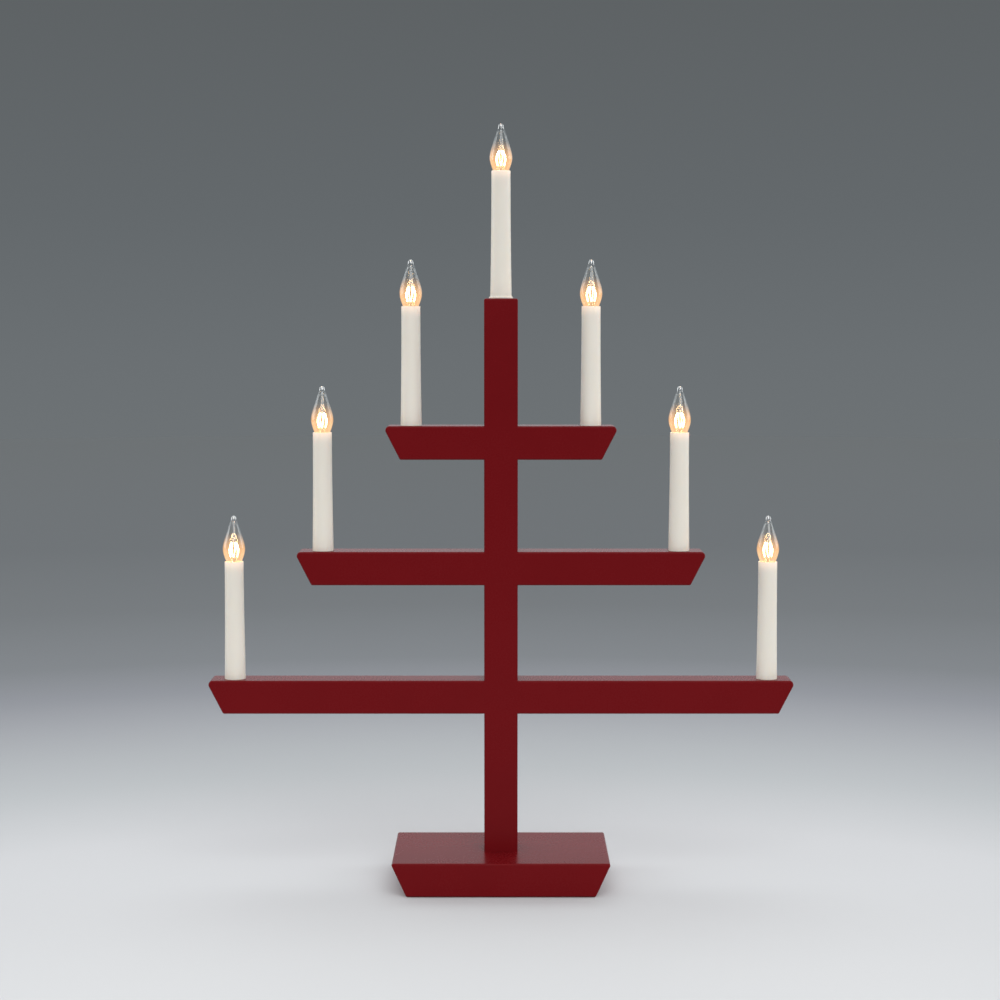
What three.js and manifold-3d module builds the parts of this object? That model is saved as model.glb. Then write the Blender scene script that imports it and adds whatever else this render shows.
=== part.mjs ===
// Electric candle tree: a square post with three crossing arms on a broad foot, carrying seven
// electric candles. Millimetres, +Z up. The origin is under the middle of the foot, on the table.
// The front faces -Y. The leads run in grooves in the back, closed by thin strips.
import * as THREE from "three";
import { mergeVertices } from "three/addons/utils/BufferGeometryUtils.js";
import Module from "manifold-3d";

const wasm = await Module();
wasm.setup();

// Woodwork
const SECTION = 32; // side of the square bar that the post and the arms are cut from
const EDGE_ROUND = 1.6; // rounding of the edges under the paint
const CORNER_EXTRA = 0.4; // the corners seen from the front are this much rounder
const ARM_SLANT = THREE.MathUtils.degToRad(27); // undercut of the arms' ends
const FOOT_SLANT = THREE.MathUtils.degToRad(24.7);
const TIP_ROUND = 4; // rounding of the arms' tips, seen from the front
const GLUE_GAP = 0.1; // glue line in the halving joints
const FOOT_WIDTH = 206; // along X, at the top
const FOOT_DEPTH = 124; // along Y
const FOOT_HEIGHT = 32; // of the wooden block
const FELT_THICKNESS = 0.6;
const FELT_INSET = 1.5; // from the flat of the block's underside
const FELT_CORNER = 3;
const POST_TOP = 562.4; // above the table
const ARM_SPANS = { lower: 559.4, middle: 388.6, upper: 219 }; // over their tips
const ARM_TOPS = { lower: 198.6, middle: 322.4, upper: 442.1 }; // above the table

// Grooves for the leads, and their strips
const GROOVE_WIDTH = 8;
const GROOVE_DEPTH = 14; // from the back face
const STRIP_WIDTH = 12;
const STRIP_THICKNESS = 2.5;
const STRIP_GAP = 0.3; // around a strip in its rebate
const STRIP_OVERRUN = 8; // a strip runs this far past the last candle's axis
const GROOVE_STOP = 8; // solid wood left above the post's groove

// Candle sleeves
const CANDLE_INSET = 24; // candle axis to the arm's end
const SEAT_DEPTH = 7; // the recess in an arm that a candle stands in
const SEAT_GAP = 0.4; // around a sleeve in its recess
const SLEEVE_LENGTH = 120;
const SLEEVE_FOOT_RADIUS = 10.2;
const SLEEVE_MOUTH_RADIUS = 9;
const SLEEVE_WALL = 0.8;
const FOOT_RIM_RADIUS = 11.3; // the rim at the foot of the top sleeve, which stands on the post
const FOOT_RIM_HEIGHT = 1.8;

// Lamp holders
const PLUG_RADIUS = 5.6; // the plug in the wood
const PLUG_LENGTH = 9;
const PLUG_GAP = 0.4;
const HOLE_BELOW_PLUG = 8; // room for the leads to turn into the groove
const FLANGE_THICKNESS = 2.5;
const FLANGE_GAP = 0.35; // to the sleeve that the flange centres
const STEM_RADIUS = 5.6;
const HOLDER_WALL = 1.3; // around the socket shell
const HOLDER_TOP_DEPTH = 10.5; // the holder's rim below the sleeve's mouth
const LEAD_BORE_RADIUS = 3;
const SHELL_WALL = 0.4;
const SHELL_LENGTH = 11;
const SHELL_DEPTH = 0.5; // below the holder's rim

// Bulbs
const BULB_HEIGHT = 44; // glass above the sleeve's mouth
const BELLY_RADIUS = 10.6;
const BELLY_HEIGHT = 13;
const TAPER_RADIUS = 6.1; // the flame half way down to its tip
const TAPER_HEIGHT = 30;
const TIP_RADIUS = 2.9; // where the drawn-out tip starts
const TIP_HEIGHT = 39;
const MOUTH_RADIUS = 7.5; // glass level with the sleeve's mouth
const GLASS_WALL = 0.7;
const NECK_RADIUS = 3.6;
const NECK_DEPTH = 12.5; // the neck's end below the mouth
const NECK_RISE = 1; // the glass starts to widen this far above the cap
const CAP_RADIUS = 4.75; // over the thread's crests
const CAP_TOP_DEPTH = 9.5; // the cap's rim below the mouth
const THREAD_DEPTH = 0.35;
const THREAD_PITCH = 1.81;
const THREAD_TURNS = 4.5;
const CAP_FIT = 0.3; // cap to shell, and cap to glass
const INSULATOR_HEIGHT = 2;
const CONTACT_RADIUS = 1.6;
const CONTACT_HEIGHT = 0.9;
const CONTACT_GAP = 0.5; // under the cap's contact
const LEAD_IN_RADIUS = 0.4; // the wires inside the glass
const FILAMENT_RADIUS = 4; // of the cage that the filament zigzags around
const FILAMENT_FOOT = 4.5; // its lower bends above the mouth
const FILAMENT_HEIGHT = 17.5; // its upper bends above the mouth
const FILAMENT_LIMBS = 6; // straight runs between its bends
const FILAMENT_ARC = THREE.MathUtils.degToRad(280); // how far round the cage it goes
const FILAMENT_STEPS = 30; // cuts along the wire, its two legs included
const STEM_TIP_RADIUS = 1.3;

// Screws, leads and the cord's outlet
const SCREW_RADIUS = 1.9;
const SCREW_HEAD_RADIUS = 3.9;
const SCREW_GRIP = 34; // length in the post
const SCREW_GAP = 0.3;
const SCREW_EDGE = 7; // screw axis to the post's faces
const SCREW_RECESS = 7; // the head lies this deep in the foot's underside
const SLOT_WIDTH = 1.2;
const SLOT_DEPTH = 0.9;
const POCKET_WIDTH = 38; // the hollow in the foot for the terminal block
const POCKET_ROOF = 9.5; // wood left above the hollow
const POCKET_WALL = 16; // wood left behind it
const LEAD_HOLE_RADIUS = 4;
const LEAD_OVERLAP = 1; // joined leads run this far into each other
const TRUNK_RADIUS = 2; // bundled leads in the post
const BRANCH_RADIUS = 1.3; // the pair of leads to each candle
const OUTLET_HEIGHT = 14; // cord outlet above the table
const BUSH_RADIUS = 5.6;
const BUSH_BORE_RADIUS = 3.5;
const BUSH_FLANGE_RADIUS = 8;
const BUSH_FLANGE_THICKNESS = 2;
const BUSH_GAP = 0.3;
const BUSH_TAIL = 2; // the bush reaches this far into the hollow
const TERMINAL_SIZE = new THREE.Vector3(20, 12, 11);
const TERMINAL_FLANGE = 3; // thickness of the plate that joins its two towers
const TERMINAL_SETBACK = 14; // from the front of the hollow
const TERMINAL_WALL = 1.3; // around its bores
const TERMINAL_BORE_RADIUS = 1.8;
const TERMINAL_BORE_HEIGHT = 4;

// Facets
const SLEEVE_SIDES = 16;
const SLEEVE_RINGS = 3; // lengths that a sleeve's flare is cut into
const GLASS_SIDES = 12;
const INNER_SIDES = 10;
const HOLE_SIDES = 12;
const LEAD_SIDES = 6;
const OVERCUT = 1; // cutting shapes reach this far past a face
const MERGE_DISTANCE = 1e-4; // points closer than this are one

const HALF = SECTION / 2;
const FOOT_TOP = FELT_THICKNESS + FOOT_HEIGHT;
const CORNER_ROUND = EDGE_ROUND + CORNER_EXTRA;
const GROOVE_FLOOR = HALF - GROOVE_DEPTH;
const GROOVE_MIDDLE = (GROOVE_FLOOR + HALF - STRIP_THICKNESS) / 2;
const LEAD_DROP = PLUG_LENGTH + HOLE_BELOW_PLUG - GROOVE_WIDTH / 2; // candle's seat to its leads
const ARM_GROOVE_DROP = SEAT_DEPTH + LEAD_DROP; // arm's top to the groove's middle
const REBATE = STRIP_WIDTH / 2 + STRIP_GAP;
const HOLE_RADIUS = PLUG_RADIUS + PLUG_GAP;
const HOLE_DEPTH = PLUG_LENGTH + HOLE_BELOW_PLUG;
const POCKET_FRONT = GROOVE_MIDDLE - LEAD_HOLE_RADIUS;
const POCKET_BACK = FOOT_DEPTH / 2 - POCKET_WALL;
const POCKET_TOP = FOOT_TOP - POCKET_ROOF;
const SHELL_BORE = CAP_RADIUS + CAP_FIT;
const SOCKET_RADIUS = SHELL_BORE + SHELL_WALL + CAP_FIT;
const HOLDER_TOP = SLEEVE_LENGTH - HOLDER_TOP_DEPTH;
const CAP_TOP = SLEEVE_LENGTH - CAP_TOP_DEPTH;
const THREAD_LENGTH = THREAD_TURNS * THREAD_PITCH;
const NECK_END = SLEEVE_LENGTH - NECK_DEPTH;
const CAP_BOTTOM = NECK_END - CAP_FIT - THREAD_LENGTH - INSULATOR_HEIGHT - CONTACT_HEIGHT;
const SOCKET_FLOOR = CAP_BOTTOM - CONTACT_GAP;
const TERMINAL_FRONT = POCKET_FRONT + TERMINAL_SETBACK;
const TERMINAL_LOW = POCKET_TOP - TERMINAL_SIZE.z;
const screwPlaces = [SCREW_EDGE - HALF, HALF - SCREW_EDGE];

const finish = (color, roughness, metalness = 0) =>
  new THREE.MeshStandardMaterial({ color, roughness, metalness });
const redPaint = finish(0x8c1119, 0.42);
const darkFelt = finish(0x3a3433, 1);
const ivoryPlastic = finish(0xf1ece0, 0.45);
const whitePlastic = finish(0xe8e4da, 0.55);
const blackRubber = finish(0x1f1d1d, 0.75);
const leadSheath = finish(0xd9d4c8, 0.6);
const brass = finish(0xc9a45a, 0.35, 1);
const steel = finish(0xb9bbbd, 0.35, 1);
const filamentWire = finish(0xffc978, 0.5);
const clearGlass = finish(0xfff3e4, 0.04);
clearGlass.transparent = true;
clearGlass.opacity = 0.3;

// A closed geometry as a manifold-3d solid, and back.
function toSolid(geometry) {
  const bare = geometry.clone();
  bare.deleteAttribute("normal");
  bare.deleteAttribute("uv");
  const merged = mergeVertices(bare, MERGE_DISTANCE);
  return new wasm.Manifold(
    new wasm.Mesh({
      numProp: 3,
      vertProperties: new Float32Array(merged.attributes.position.array),
      triVerts: new Uint32Array(merged.index.array),
    }),
  );
}

function toGeometry(solid) {
  const mesh = solid.getMesh();
  const geometry = new THREE.BufferGeometry();
  geometry.setAttribute("position", new THREE.BufferAttribute(mesh.vertProperties, 3));
  geometry.setIndex(new THREE.BufferAttribute(mesh.triVerts, 1));
  geometry.computeVertexNormals();
  return geometry;
}

const subtractAll = (solid, tools) => tools.reduce((rest, tool) => rest.subtract(tool), solid);
const joinAll = (solids) => solids.reduce((whole, piece) => whole.add(piece));

// A block between two corners, as a solid.
function block([x0, y0, z0], [x1, y1, z1]) {
  const box = new THREE.BoxGeometry(x1 - x0, y1 - y0, z1 - z0);
  return toSolid(box.translate((x0 + x1) / 2, (y0 + y1) / 2, (z0 + z1) / 2));
}

// A turned piece about +Z from [radius, height] points, with its outside going up.
function turned(profile, sides) {
  const points = profile.map(([radius, height]) => new THREE.Vector2(radius, height));
  return new THREE.LatheGeometry(points, sides).rotateX(Math.PI / 2);
}

const hollowTurned = (profile, sides) => turned([...profile, profile[0]], sides);

const drill = (radius, from, to, sides = HOLE_SIDES) =>
  toSolid(turned([[0, from], [radius, from], [radius, to], [0, to]], sides));

// A round rod between two points, as a solid.
function rod(start, end, radius) {
  const from = new THREE.Vector3(...start);
  const along = new THREE.Vector3(...end).sub(from);
  const length = along.length();
  const up = new THREE.Vector3(0, 1, 0);
  const turn = new THREE.Quaternion().setFromUnitVectors(up, along.normalize());
  const geometry = new THREE.CylinderGeometry(radius, radius, length, LEAD_SIDES);
  geometry.translate(0, length / 2, 0).applyQuaternion(turn);
  return toSolid(geometry.translate(from.x, from.y, from.z));
}

// A bar with rounded edges, centred on Y, whose front outline is given as [x, z] corners, one
// after the other against the clock. A third number is the corner's own radius.
function bar(corners, depth) {
  const outline = new THREE.Shape();
  corners.forEach(([x, z, round = CORNER_ROUND], i) => {
    const here = new THREE.Vector2(x, z);
    const before = new THREE.Vector2(...corners.at(i - 1)).sub(here);
    const after = new THREE.Vector2(...corners[(i + 1) % corners.length]).sub(here);
    const half = before.angleTo(after) / 2;
    const enter = before.setLength(round / Math.tan(half));
    const leave = after.setLength(round / Math.tan(half));
    const centre = enter.clone().add(leave).setLength(round / Math.sin(half));
    const from = enter.sub(centre).angle();
    const to = leave.sub(centre).angle();
    outline.absarc(x + centre.x, z + centre.y, round, from, to);
  });
  outline.closePath();
  const geometry = new THREE.ExtrudeGeometry(outline, {
    depth: depth - 2 * EDGE_ROUND,
    bevelThickness: EDGE_ROUND,
    bevelSize: EDGE_ROUND,
    bevelOffset: -EDGE_ROUND,
    bevelSegments: 2,
    curveSegments: 2,
  });
  return toSolid(geometry.translate(0, 0, EDGE_ROUND - depth / 2).rotateX(Math.PI / 2));
}

// Corners of a bar below Z = 0 that is undercut at both ends. The width is over its rounded tips.
function undercut(width, height, slant, tipRound = CORNER_ROUND) {
  const halfTip = (Math.PI / 2 - slant) / 2;
  const halfTop = width / 2 + tipRound * (1 / Math.tan(halfTip) - 1);
  const halfBottom = halfTop - height * Math.tan(slant);
  return [
    [-halfBottom, -height],
    [halfBottom, -height],
    [halfTop, 0, tipRound],
    [-halfTop, 0, tipRound],
  ];
}

// A groove along X in an arm's back, with the rebate for its strip. The arm's top is at Z = 0.
function crossGroove(from, to) {
  const half = GROOVE_WIDTH / 2;
  const groove = block([from, GROOVE_FLOOR, -half], [to, HALF + OVERCUT, half]);
  const rebate = block([from, HALF - STRIP_THICKNESS, -REBATE], [to, HALF + OVERCUT, REBATE]);
  return groove.add(rebate).translate([0, 0, -ARM_GROOVE_DROP]);
}

// An arm with its top at Z = 0: recesses and holes for its candles, a groove, and the half cut
// out of its back where the post passes.
function arm(span) {
  const candleX = span / 2 - CANDLE_INSET;
  const grooveEnd = candleX + STRIP_OVERRUN + STRIP_GAP;
  const notch = HALF + GLUE_GAP;
  const squareMiddle = block([-HALF, -HALF, -SECTION], [HALF, 0, 0]);
  const tools = [
    block([-notch, 0, -SECTION - OVERCUT], [notch, HALF + OVERCUT, OVERCUT]),
    crossGroove(-grooveEnd, grooveEnd),
  ];
  for (const x of [-candleX, candleX]) {
    const seat = drill(SLEEVE_FOOT_RADIUS + SEAT_GAP, -SEAT_DEPTH, OVERCUT, SLEEVE_SIDES);
    const hole = drill(HOLE_RADIUS, -SEAT_DEPTH - HOLE_DEPTH, 0);
    tools.push(seat.add(hole).translate([x, 0, 0]));
  }
  const outline = undercut(span, SECTION, ARM_SLANT, TIP_ROUND);
  const blank = bar(outline, SECTION).add(squareMiddle);
  return toGeometry(subtractAll(blank, tools));
}

// The post, from the foot's top up: halved at the front for each arm, grooved down its back.
function post() {
  const corners = [[-HALF, FOOT_TOP], [HALF, FOOT_TOP], [HALF, POST_TOP], [-HALF, POST_TOP]];
  const squareFoot = block([-HALF, -HALF, FOOT_TOP], [HALF, HALF, FOOT_TOP + CORNER_ROUND]);
  const half = GROOVE_WIDTH / 2;
  const low = FOOT_TOP - OVERCUT;
  const grooveTop = POST_TOP - GROOVE_STOP;
  const out = HALF + OVERCUT;
  const tools = [
    block([-half, GROOVE_FLOOR, low], [half, out, grooveTop]),
    block([-REBATE, HALF - STRIP_THICKNESS, low], [REBATE, out, grooveTop + STRIP_GAP]),
    drill(HOLE_RADIUS, -HOLE_DEPTH, OVERCUT).translate([0, 0, POST_TOP]),
  ];
  for (const top of Object.values(ARM_TOPS)) {
    tools.push(
      block([-out, -out, top - SECTION - GLUE_GAP], [out, GLUE_GAP, top + GLUE_GAP]),
      crossGroove(-out, out).translate([0, 0, top]),
    );
  }
  for (const x of screwPlaces) {
    const pilot = drill(SCREW_RADIUS + SCREW_GAP, -OVERCUT, SCREW_GRIP + SCREW_GAP, INNER_SIDES);
    tools.push(pilot.translate([x, SCREW_EDGE - HALF, FOOT_TOP]));
  }
  return toGeometry(subtractAll(bar(corners, SECTION).add(squareFoot), tools));
}

// Radius and height of a countersunk head and its shank, widened by a gap, from z up to end.
function countersunk(z, end, gap) {
  const head = SCREW_HEAD_RADIUS + gap;
  const shank = SCREW_RADIUS + gap;
  const sink = FELT_THICKNESS + SCREW_RECESS;
  return [[0, z], [head, z], [head, sink], [shank, sink + head - shank], [shank, end]];
}

// A wood screw, head down, with a slot in its head and a point in the post.
function woodScrew() {
  const seat = FELT_THICKNESS + SCREW_RECESS;
  const tip = FOOT_TOP + SCREW_GRIP;
  const profile = [...countersunk(seat - SLOT_DEPTH, tip - 2 * SCREW_RADIUS, 0), [0, tip]];
  const slot = block(
    [-SCREW_HEAD_RADIUS - OVERCUT, -SLOT_WIDTH / 2, seat - SLOT_DEPTH - OVERCUT],
    [SCREW_HEAD_RADIUS + OVERCUT, SLOT_WIDTH / 2, seat],
  );
  return toGeometry(toSolid(turned(profile, INNER_SIDES)).subtract(slot));
}

// The foot: undercut ends, screw recesses, a hollow for the terminal block and a cord outlet.
function footBlock() {
  const outline = undercut(FOOT_WIDTH, FOOT_HEIGHT, FOOT_SLANT);
  const blank = bar(outline, FOOT_DEPTH).translate([0, 0, FOOT_TOP]);
  const half = POCKET_WIDTH / 2;
  const back = FOOT_DEPTH / 2;
  const shoulder = back - BUSH_FLANGE_THICKNESS;
  const bore = BUSH_RADIUS + BUSH_GAP;
  const rim = BUSH_FLANGE_RADIUS + BUSH_GAP;
  const outletProfile = [
    [0, POCKET_BACK - OVERCUT],
    [bore, POCKET_BACK - OVERCUT],
    [bore, shoulder],
    [rim, shoulder],
    [rim, back + OVERCUT],
    [0, back + OVERCUT],
  ];
  const outlet = toSolid(turned(outletProfile, SLEEVE_SIDES).rotateX(-Math.PI / 2));
  const leadHole = drill(LEAD_HOLE_RADIUS, POCKET_TOP - OVERCUT, FOOT_TOP + OVERCUT);
  const tools = [
    block([-half, POCKET_FRONT, FELT_THICKNESS - OVERCUT], [half, POCKET_BACK, POCKET_TOP]),
    leadHole.translate([0, GROOVE_MIDDLE, 0]),
    outlet.translate([0, 0, OUTLET_HEIGHT]),
  ];
  for (const x of screwPlaces) {
    const end = FOOT_TOP + OVERCUT;
    const recess = turned([...countersunk(0, end, SCREW_GAP), [0, end]], INNER_SIDES);
    tools.push(toSolid(recess).translate([x, SCREW_EDGE - HALF, 0]));
  }
  return toGeometry(subtractAll(blank, tools));
}

// The felt sheet under the foot.
function footFelt() {
  const [, [halfBottom]] = undercut(FOOT_WIDTH, FOOT_HEIGHT, FOOT_SLANT);
  const x = halfBottom - CORNER_ROUND - FELT_INSET - FELT_CORNER;
  const y = FOOT_DEPTH / 2 - EDGE_ROUND - FELT_INSET - FELT_CORNER;
  const sheet = new THREE.Shape();
  [[x, y], [-x, y], [-x, -y], [x, -y]].forEach(([cornerX, cornerY], i) => {
    const from = (i * Math.PI) / 2;
    sheet.absarc(cornerX, cornerY, FELT_CORNER, from, from + Math.PI / 2);
  });
  sheet.closePath();
  const shape = { depth: FELT_THICKNESS, bevelEnabled: false, curveSegments: 3 };
  return new THREE.ExtrudeGeometry(sheet, shape);
}

// A strip that closes a groove, flush with the back face.
function strip(width, height) {
  const geometry = new THREE.BoxGeometry(width, STRIP_THICKNESS, height);
  return geometry.translate(0, HALF - STRIP_THICKNESS / 2, 0);
}

// Outer radius of a sleeve, which flares towards its foot.
function sleeveRadius(height) {
  const share = 1 - height / SLEEVE_LENGTH;
  return SLEEVE_MOUTH_RADIUS + (SLEEVE_FOOT_RADIUS - SLEEVE_MOUTH_RADIUS) * share ** 2;
}

// The tube of a candle. One that stands free, not in a recess, has a small rim at its foot.
function candleSleeve(standsFree) {
  const wall = [];
  for (let ring = 0; ring <= SLEEVE_RINGS; ring++) {
    const height = (ring / SLEEVE_RINGS) * SLEEVE_LENGTH;
    wall.push([sleeveRadius(height), height]);
  }
  const rim = [
    [FOOT_RIM_RADIUS, 0],
    [FOOT_RIM_RADIUS, FOOT_RIM_HEIGHT],
    [sleeveRadius(FOOT_RIM_HEIGHT), FOOT_RIM_HEIGHT],
  ];
  const outside = standsFree ? [...rim, ...wall.slice(1)] : wall;
  const inside = wall.map(([radius, height]) => [radius - SLEEVE_WALL, height]);
  return hollowTurned([...outside, ...inside.reverse()], SLEEVE_SIDES);
}

// The lamp holder: a plug in the wood, a flange that centres the sleeve, a stem and the socket.
function lampHolder() {
  const flange = sleeveRadius(FLANGE_THICKNESS) - SLEEVE_WALL - FLANGE_GAP;
  const outside = SOCKET_RADIUS + HOLDER_WALL;
  const shoulder = SOCKET_FLOOR - HOLDER_WALL;
  const stemTop = shoulder - (outside - STEM_RADIUS);
  return hollowTurned(
    [
      [PLUG_RADIUS, -PLUG_LENGTH],
      [PLUG_RADIUS, 0],
      [flange, 0],
      [flange, FLANGE_THICKNESS],
      [STEM_RADIUS, FLANGE_THICKNESS],
      [STEM_RADIUS, stemTop],
      [outside, shoulder],
      [outside, HOLDER_TOP],
      [SOCKET_RADIUS, HOLDER_TOP],
      [SOCKET_RADIUS, SOCKET_FLOOR],
      [LEAD_BORE_RADIUS, SOCKET_FLOOR],
      [LEAD_BORE_RADIUS, -PLUG_LENGTH],
    ],
    INNER_SIDES,
  );
}

// The brass shell in the holder that the bulb's cap screws into.
function socketShell() {
  const high = HOLDER_TOP - SHELL_DEPTH;
  const low = high - SHELL_LENGTH;
  const outside = SHELL_BORE + SHELL_WALL;
  const profile = [[outside, low], [outside, high], [SHELL_BORE, high], [SHELL_BORE, low]];
  return hollowTurned(profile, INNER_SIDES);
}

// The flame-shaped glass, open at its neck.
function bulbGlass() {
  const places = [
    [MOUTH_RADIUS, 0],
    [BELLY_RADIUS, BELLY_HEIGHT],
    [TAPER_RADIUS, TAPER_HEIGHT],
    [TIP_RADIUS, TIP_HEIGHT],
    [0, BULB_HEIGHT],
  ];
  const flame = new THREE.SplineCurve(places.map((place) => new THREE.Vector2(...place)));
  const neckTop = CAP_TOP + NECK_RISE;
  const outside = flame.getPoints(2 * (places.length - 1)).map(({ x, y }) => [x, y + SLEEVE_LENGTH]);
  const thickEnough = ([radius, height]) => radius > 0 && height < SLEEVE_LENGTH + TIP_HEIGHT;
  const inside = outside.filter(thickEnough).map(([radius, height]) => [radius - GLASS_WALL, height]);
  const crown = [0, SLEEVE_LENGTH + TIP_HEIGHT];
  const bore = NECK_RADIUS - GLASS_WALL;
  return hollowTurned(
    [
      [NECK_RADIUS, NECK_END],
      [NECK_RADIUS, neckTop],
      ...outside,
      crown,
      ...inside.reverse(),
      [bore, neckTop],
      [bore, NECK_END],
    ],
    GLASS_SIDES,
  );
}

// The bulb's brass cap, a cup around the glass neck: contact, insulator and rolled thread.
function bulbCap() {
  const root = CAP_RADIUS - THREAD_DEPTH;
  const toCorners = 1 / Math.cos(Math.PI / INNER_SIDES);
  const bore = (NECK_RADIUS + CAP_FIT) * toCorners;
  const threadBottom = CAP_BOTTOM + CONTACT_HEIGHT + INSULATOR_HEIGHT;
  const thread = [];
  for (let halfTurn = 0; halfTurn < 2 * THREAD_TURNS; halfTurn++) {
    const radius = halfTurn % 2 ? CAP_RADIUS : root;
    thread.push([radius, threadBottom + (halfTurn / 2) * THREAD_PITCH]);
  }
  return turned(
    [
      [0, CAP_BOTTOM],
      [CONTACT_RADIUS, CAP_BOTTOM],
      [CONTACT_RADIUS, CAP_BOTTOM + CONTACT_HEIGHT],
      ...thread,
      [root, CAP_TOP],
      [bore, CAP_TOP],
      [bore, threadBottom],
      [0, threadBottom],
    ],
    INNER_SIDES,
  );
}

// The glass stem in the neck, its two wires and the filament that zigzags around a cage between
// them, as one piece.
function filamentMount() {
  const foot = NECK_END;
  const bore = NECK_RADIUS - GLASS_WALL - CAP_FIT;
  const stemTop = SLEEVE_LENGTH;
  const stem = [[0, foot], [bore, foot], [STEM_TIP_RADIUS, foot + bore], [STEM_TIP_RADIUS, stemTop]];
  const bend = (number, radius, z) => {
    const angle = (number / FILAMENT_LIMBS - 1 / 2) * FILAMENT_ARC - Math.PI / 2;
    return new THREE.Vector3(radius * Math.cos(angle), radius * Math.sin(angle), stemTop + z);
  };
  const points = [bend(0, STEM_TIP_RADIUS / 2, -2 * LEAD_IN_RADIUS)];
  for (let limb = 0; limb <= FILAMENT_LIMBS; limb++) {
    points.push(bend(limb, FILAMENT_RADIUS, limb % 2 ? FILAMENT_HEIGHT : FILAMENT_FOOT));
  }
  points.push(bend(FILAMENT_LIMBS, STEM_TIP_RADIUS / 2, -2 * LEAD_IN_RADIUS));
  const wire = new THREE.Shape().absarc(0, 0, LEAD_IN_RADIUS, 0, 2 * Math.PI);
  const bent = new THREE.ExtrudeGeometry(wire, {
    steps: FILAMENT_STEPS,
    curveSegments: 2,
    bevelEnabled: false,
    extrudePath: new THREE.CatmullRomCurve3(points),
  });
  return toGeometry(toSolid(turned([...stem, [0, stemTop]], INNER_SIDES)).add(toSolid(bent)));
}

// The leads: from the terminal block up the post, along each arm and up into each holder.
function wiring(candles) {
  const y = GROOVE_MIDDLE;
  const trunkTop = POST_TOP - LEAD_DROP;
  const trunkFoot = POCKET_TOP - BRANCH_RADIUS;
  const boreZ = TERMINAL_LOW + TERMINAL_BORE_HEIGHT;
  const runs = [rod([0, y, trunkFoot], [0, y, trunkTop], TRUNK_RADIUS)];
  for (const x of [-TERMINAL_SIZE.x / 4, TERMINAL_SIZE.x / 4]) {
    const bendY = TERMINAL_FRONT - BRANCH_RADIUS;
    const middleY = TERMINAL_FRONT + TERMINAL_SIZE.y / 2;
    const joinY = bendY + BRANCH_RADIUS / 2;
    runs.push(rod([x, middleY, boreZ], [x, bendY, boreZ], BRANCH_RADIUS));
    runs.push(rod([x, joinY, boreZ], [0, y, trunkFoot + LEAD_OVERLAP], BRANCH_RADIUS));
  }
  for (const { x, seat } of candles) {
    const z = seat - LEAD_DROP;
    const end = x + Math.sign(x) * BRANCH_RADIUS;
    if (x !== 0) runs.push(rod([0, y, z], [end, y, z], BRANCH_RADIUS));
    runs.push(rod([x, y + BRANCH_RADIUS, z], [x, -BRANCH_RADIUS, z], BRANCH_RADIUS));
    runs.push(rod([x, 0, z - BRANCH_RADIUS], [x, 0, seat + SOCKET_FLOOR], BRANCH_RADIUS));
  }
  return toGeometry(joinAll(runs));
}

// The rubber bush that the supply cord passes through, with its axis along Y.
function cordBush() {
  const back = FOOT_DEPTH / 2;
  const neck = back - BUSH_FLANGE_THICKNESS + BUSH_GAP;
  const tail = POCKET_BACK - BUSH_TAIL;
  const profile = [
    [BUSH_RADIUS, tail],
    [BUSH_RADIUS, neck],
    [BUSH_FLANGE_RADIUS, neck],
    [BUSH_FLANGE_RADIUS, back],
    [BUSH_BORE_RADIUS, back],
    [BUSH_BORE_RADIUS, tail],
  ];
  return hollowTurned(profile, SLEEVE_SIDES).rotateX(-Math.PI / 2);
}

// The two-way terminal block that joins the supply cord to the leads, standing on Z = 0.
function terminalBlock() {
  const { x, y, z } = TERMINAL_SIZE;
  const plate = block([-x / 2, -y / 2, z - TERMINAL_FLANGE], [x / 2, y / 2, z]);
  const halfTower = TERMINAL_BORE_RADIUS + TERMINAL_WALL;
  const towers = [];
  const bores = [];
  for (const middle of [-x / 4, x / 4]) {
    towers.push(block([middle - halfTower, -y / 2, 0], [middle + halfTower, y / 2, z]));
    const bore = drill(TERMINAL_BORE_RADIUS, -y, y).rotate([90, 0, 0]);
    bores.push(bore.translate([middle, 0, TERMINAL_BORE_HEIGHT]));
  }
  return toGeometry(subtractAll(joinAll([plate, ...towers]), bores));
}

function node(name, geometry, material, position = [0, 0, 0]) {
  const mesh = new THREE.Mesh(geometry, material);
  mesh.name = name;
  mesh.position.set(...position);
  return mesh;
}

// Where each candle stands: its axis, and the height that its sleeve and holder rest at.
const candles = [{ name: "top", x: 0, seat: POST_TOP, standsFree: true }];
for (const [level, span] of Object.entries(ARM_SPANS)) {
  const x = span / 2 - CANDLE_INSET;
  const seat = ARM_TOPS[level] - SEAT_DEPTH;
  candles.push({ name: `${level}_left`, x: -x, seat }, { name: `${level}_right`, x, seat });
}

const tree = new THREE.Group();
tree.add(node("foot_felt", footFelt(), darkFelt));
tree.add(node("foot_block", footBlock(), redPaint));
tree.add(node("post", post(), redPaint));

screwPlaces.forEach((x, i) => {
  const side = ["left", "right"][i];
  tree.add(node(`post_screw_${side}`, woodScrew(), steel, [x, SCREW_EDGE - HALF, 0]));
});

for (const [level, span] of Object.entries(ARM_SPANS)) {
  const top = ARM_TOPS[level];
  tree.add(node(`arm_${level}`, arm(span), redPaint, [0, 0, top]));
  const length = span / 2 - CANDLE_INSET + STRIP_OVERRUN - REBATE;
  const x = REBATE + length / 2;
  const z = top - ARM_GROOVE_DROP;
  tree.add(node(`strip_${level}_left`, strip(length, STRIP_WIDTH), redPaint, [-x, 0, z]));
  tree.add(node(`strip_${level}_right`, strip(length, STRIP_WIDTH), redPaint, [x, 0, z]));
}
const stripLow = FOOT_TOP + STRIP_GAP;
const stripHigh = POST_TOP - GROOVE_STOP;
const postStrip = strip(STRIP_WIDTH, stripHigh - stripLow);
tree.add(node("strip_post", postStrip, redPaint, [0, 0, (stripLow + stripHigh) / 2]));

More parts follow.
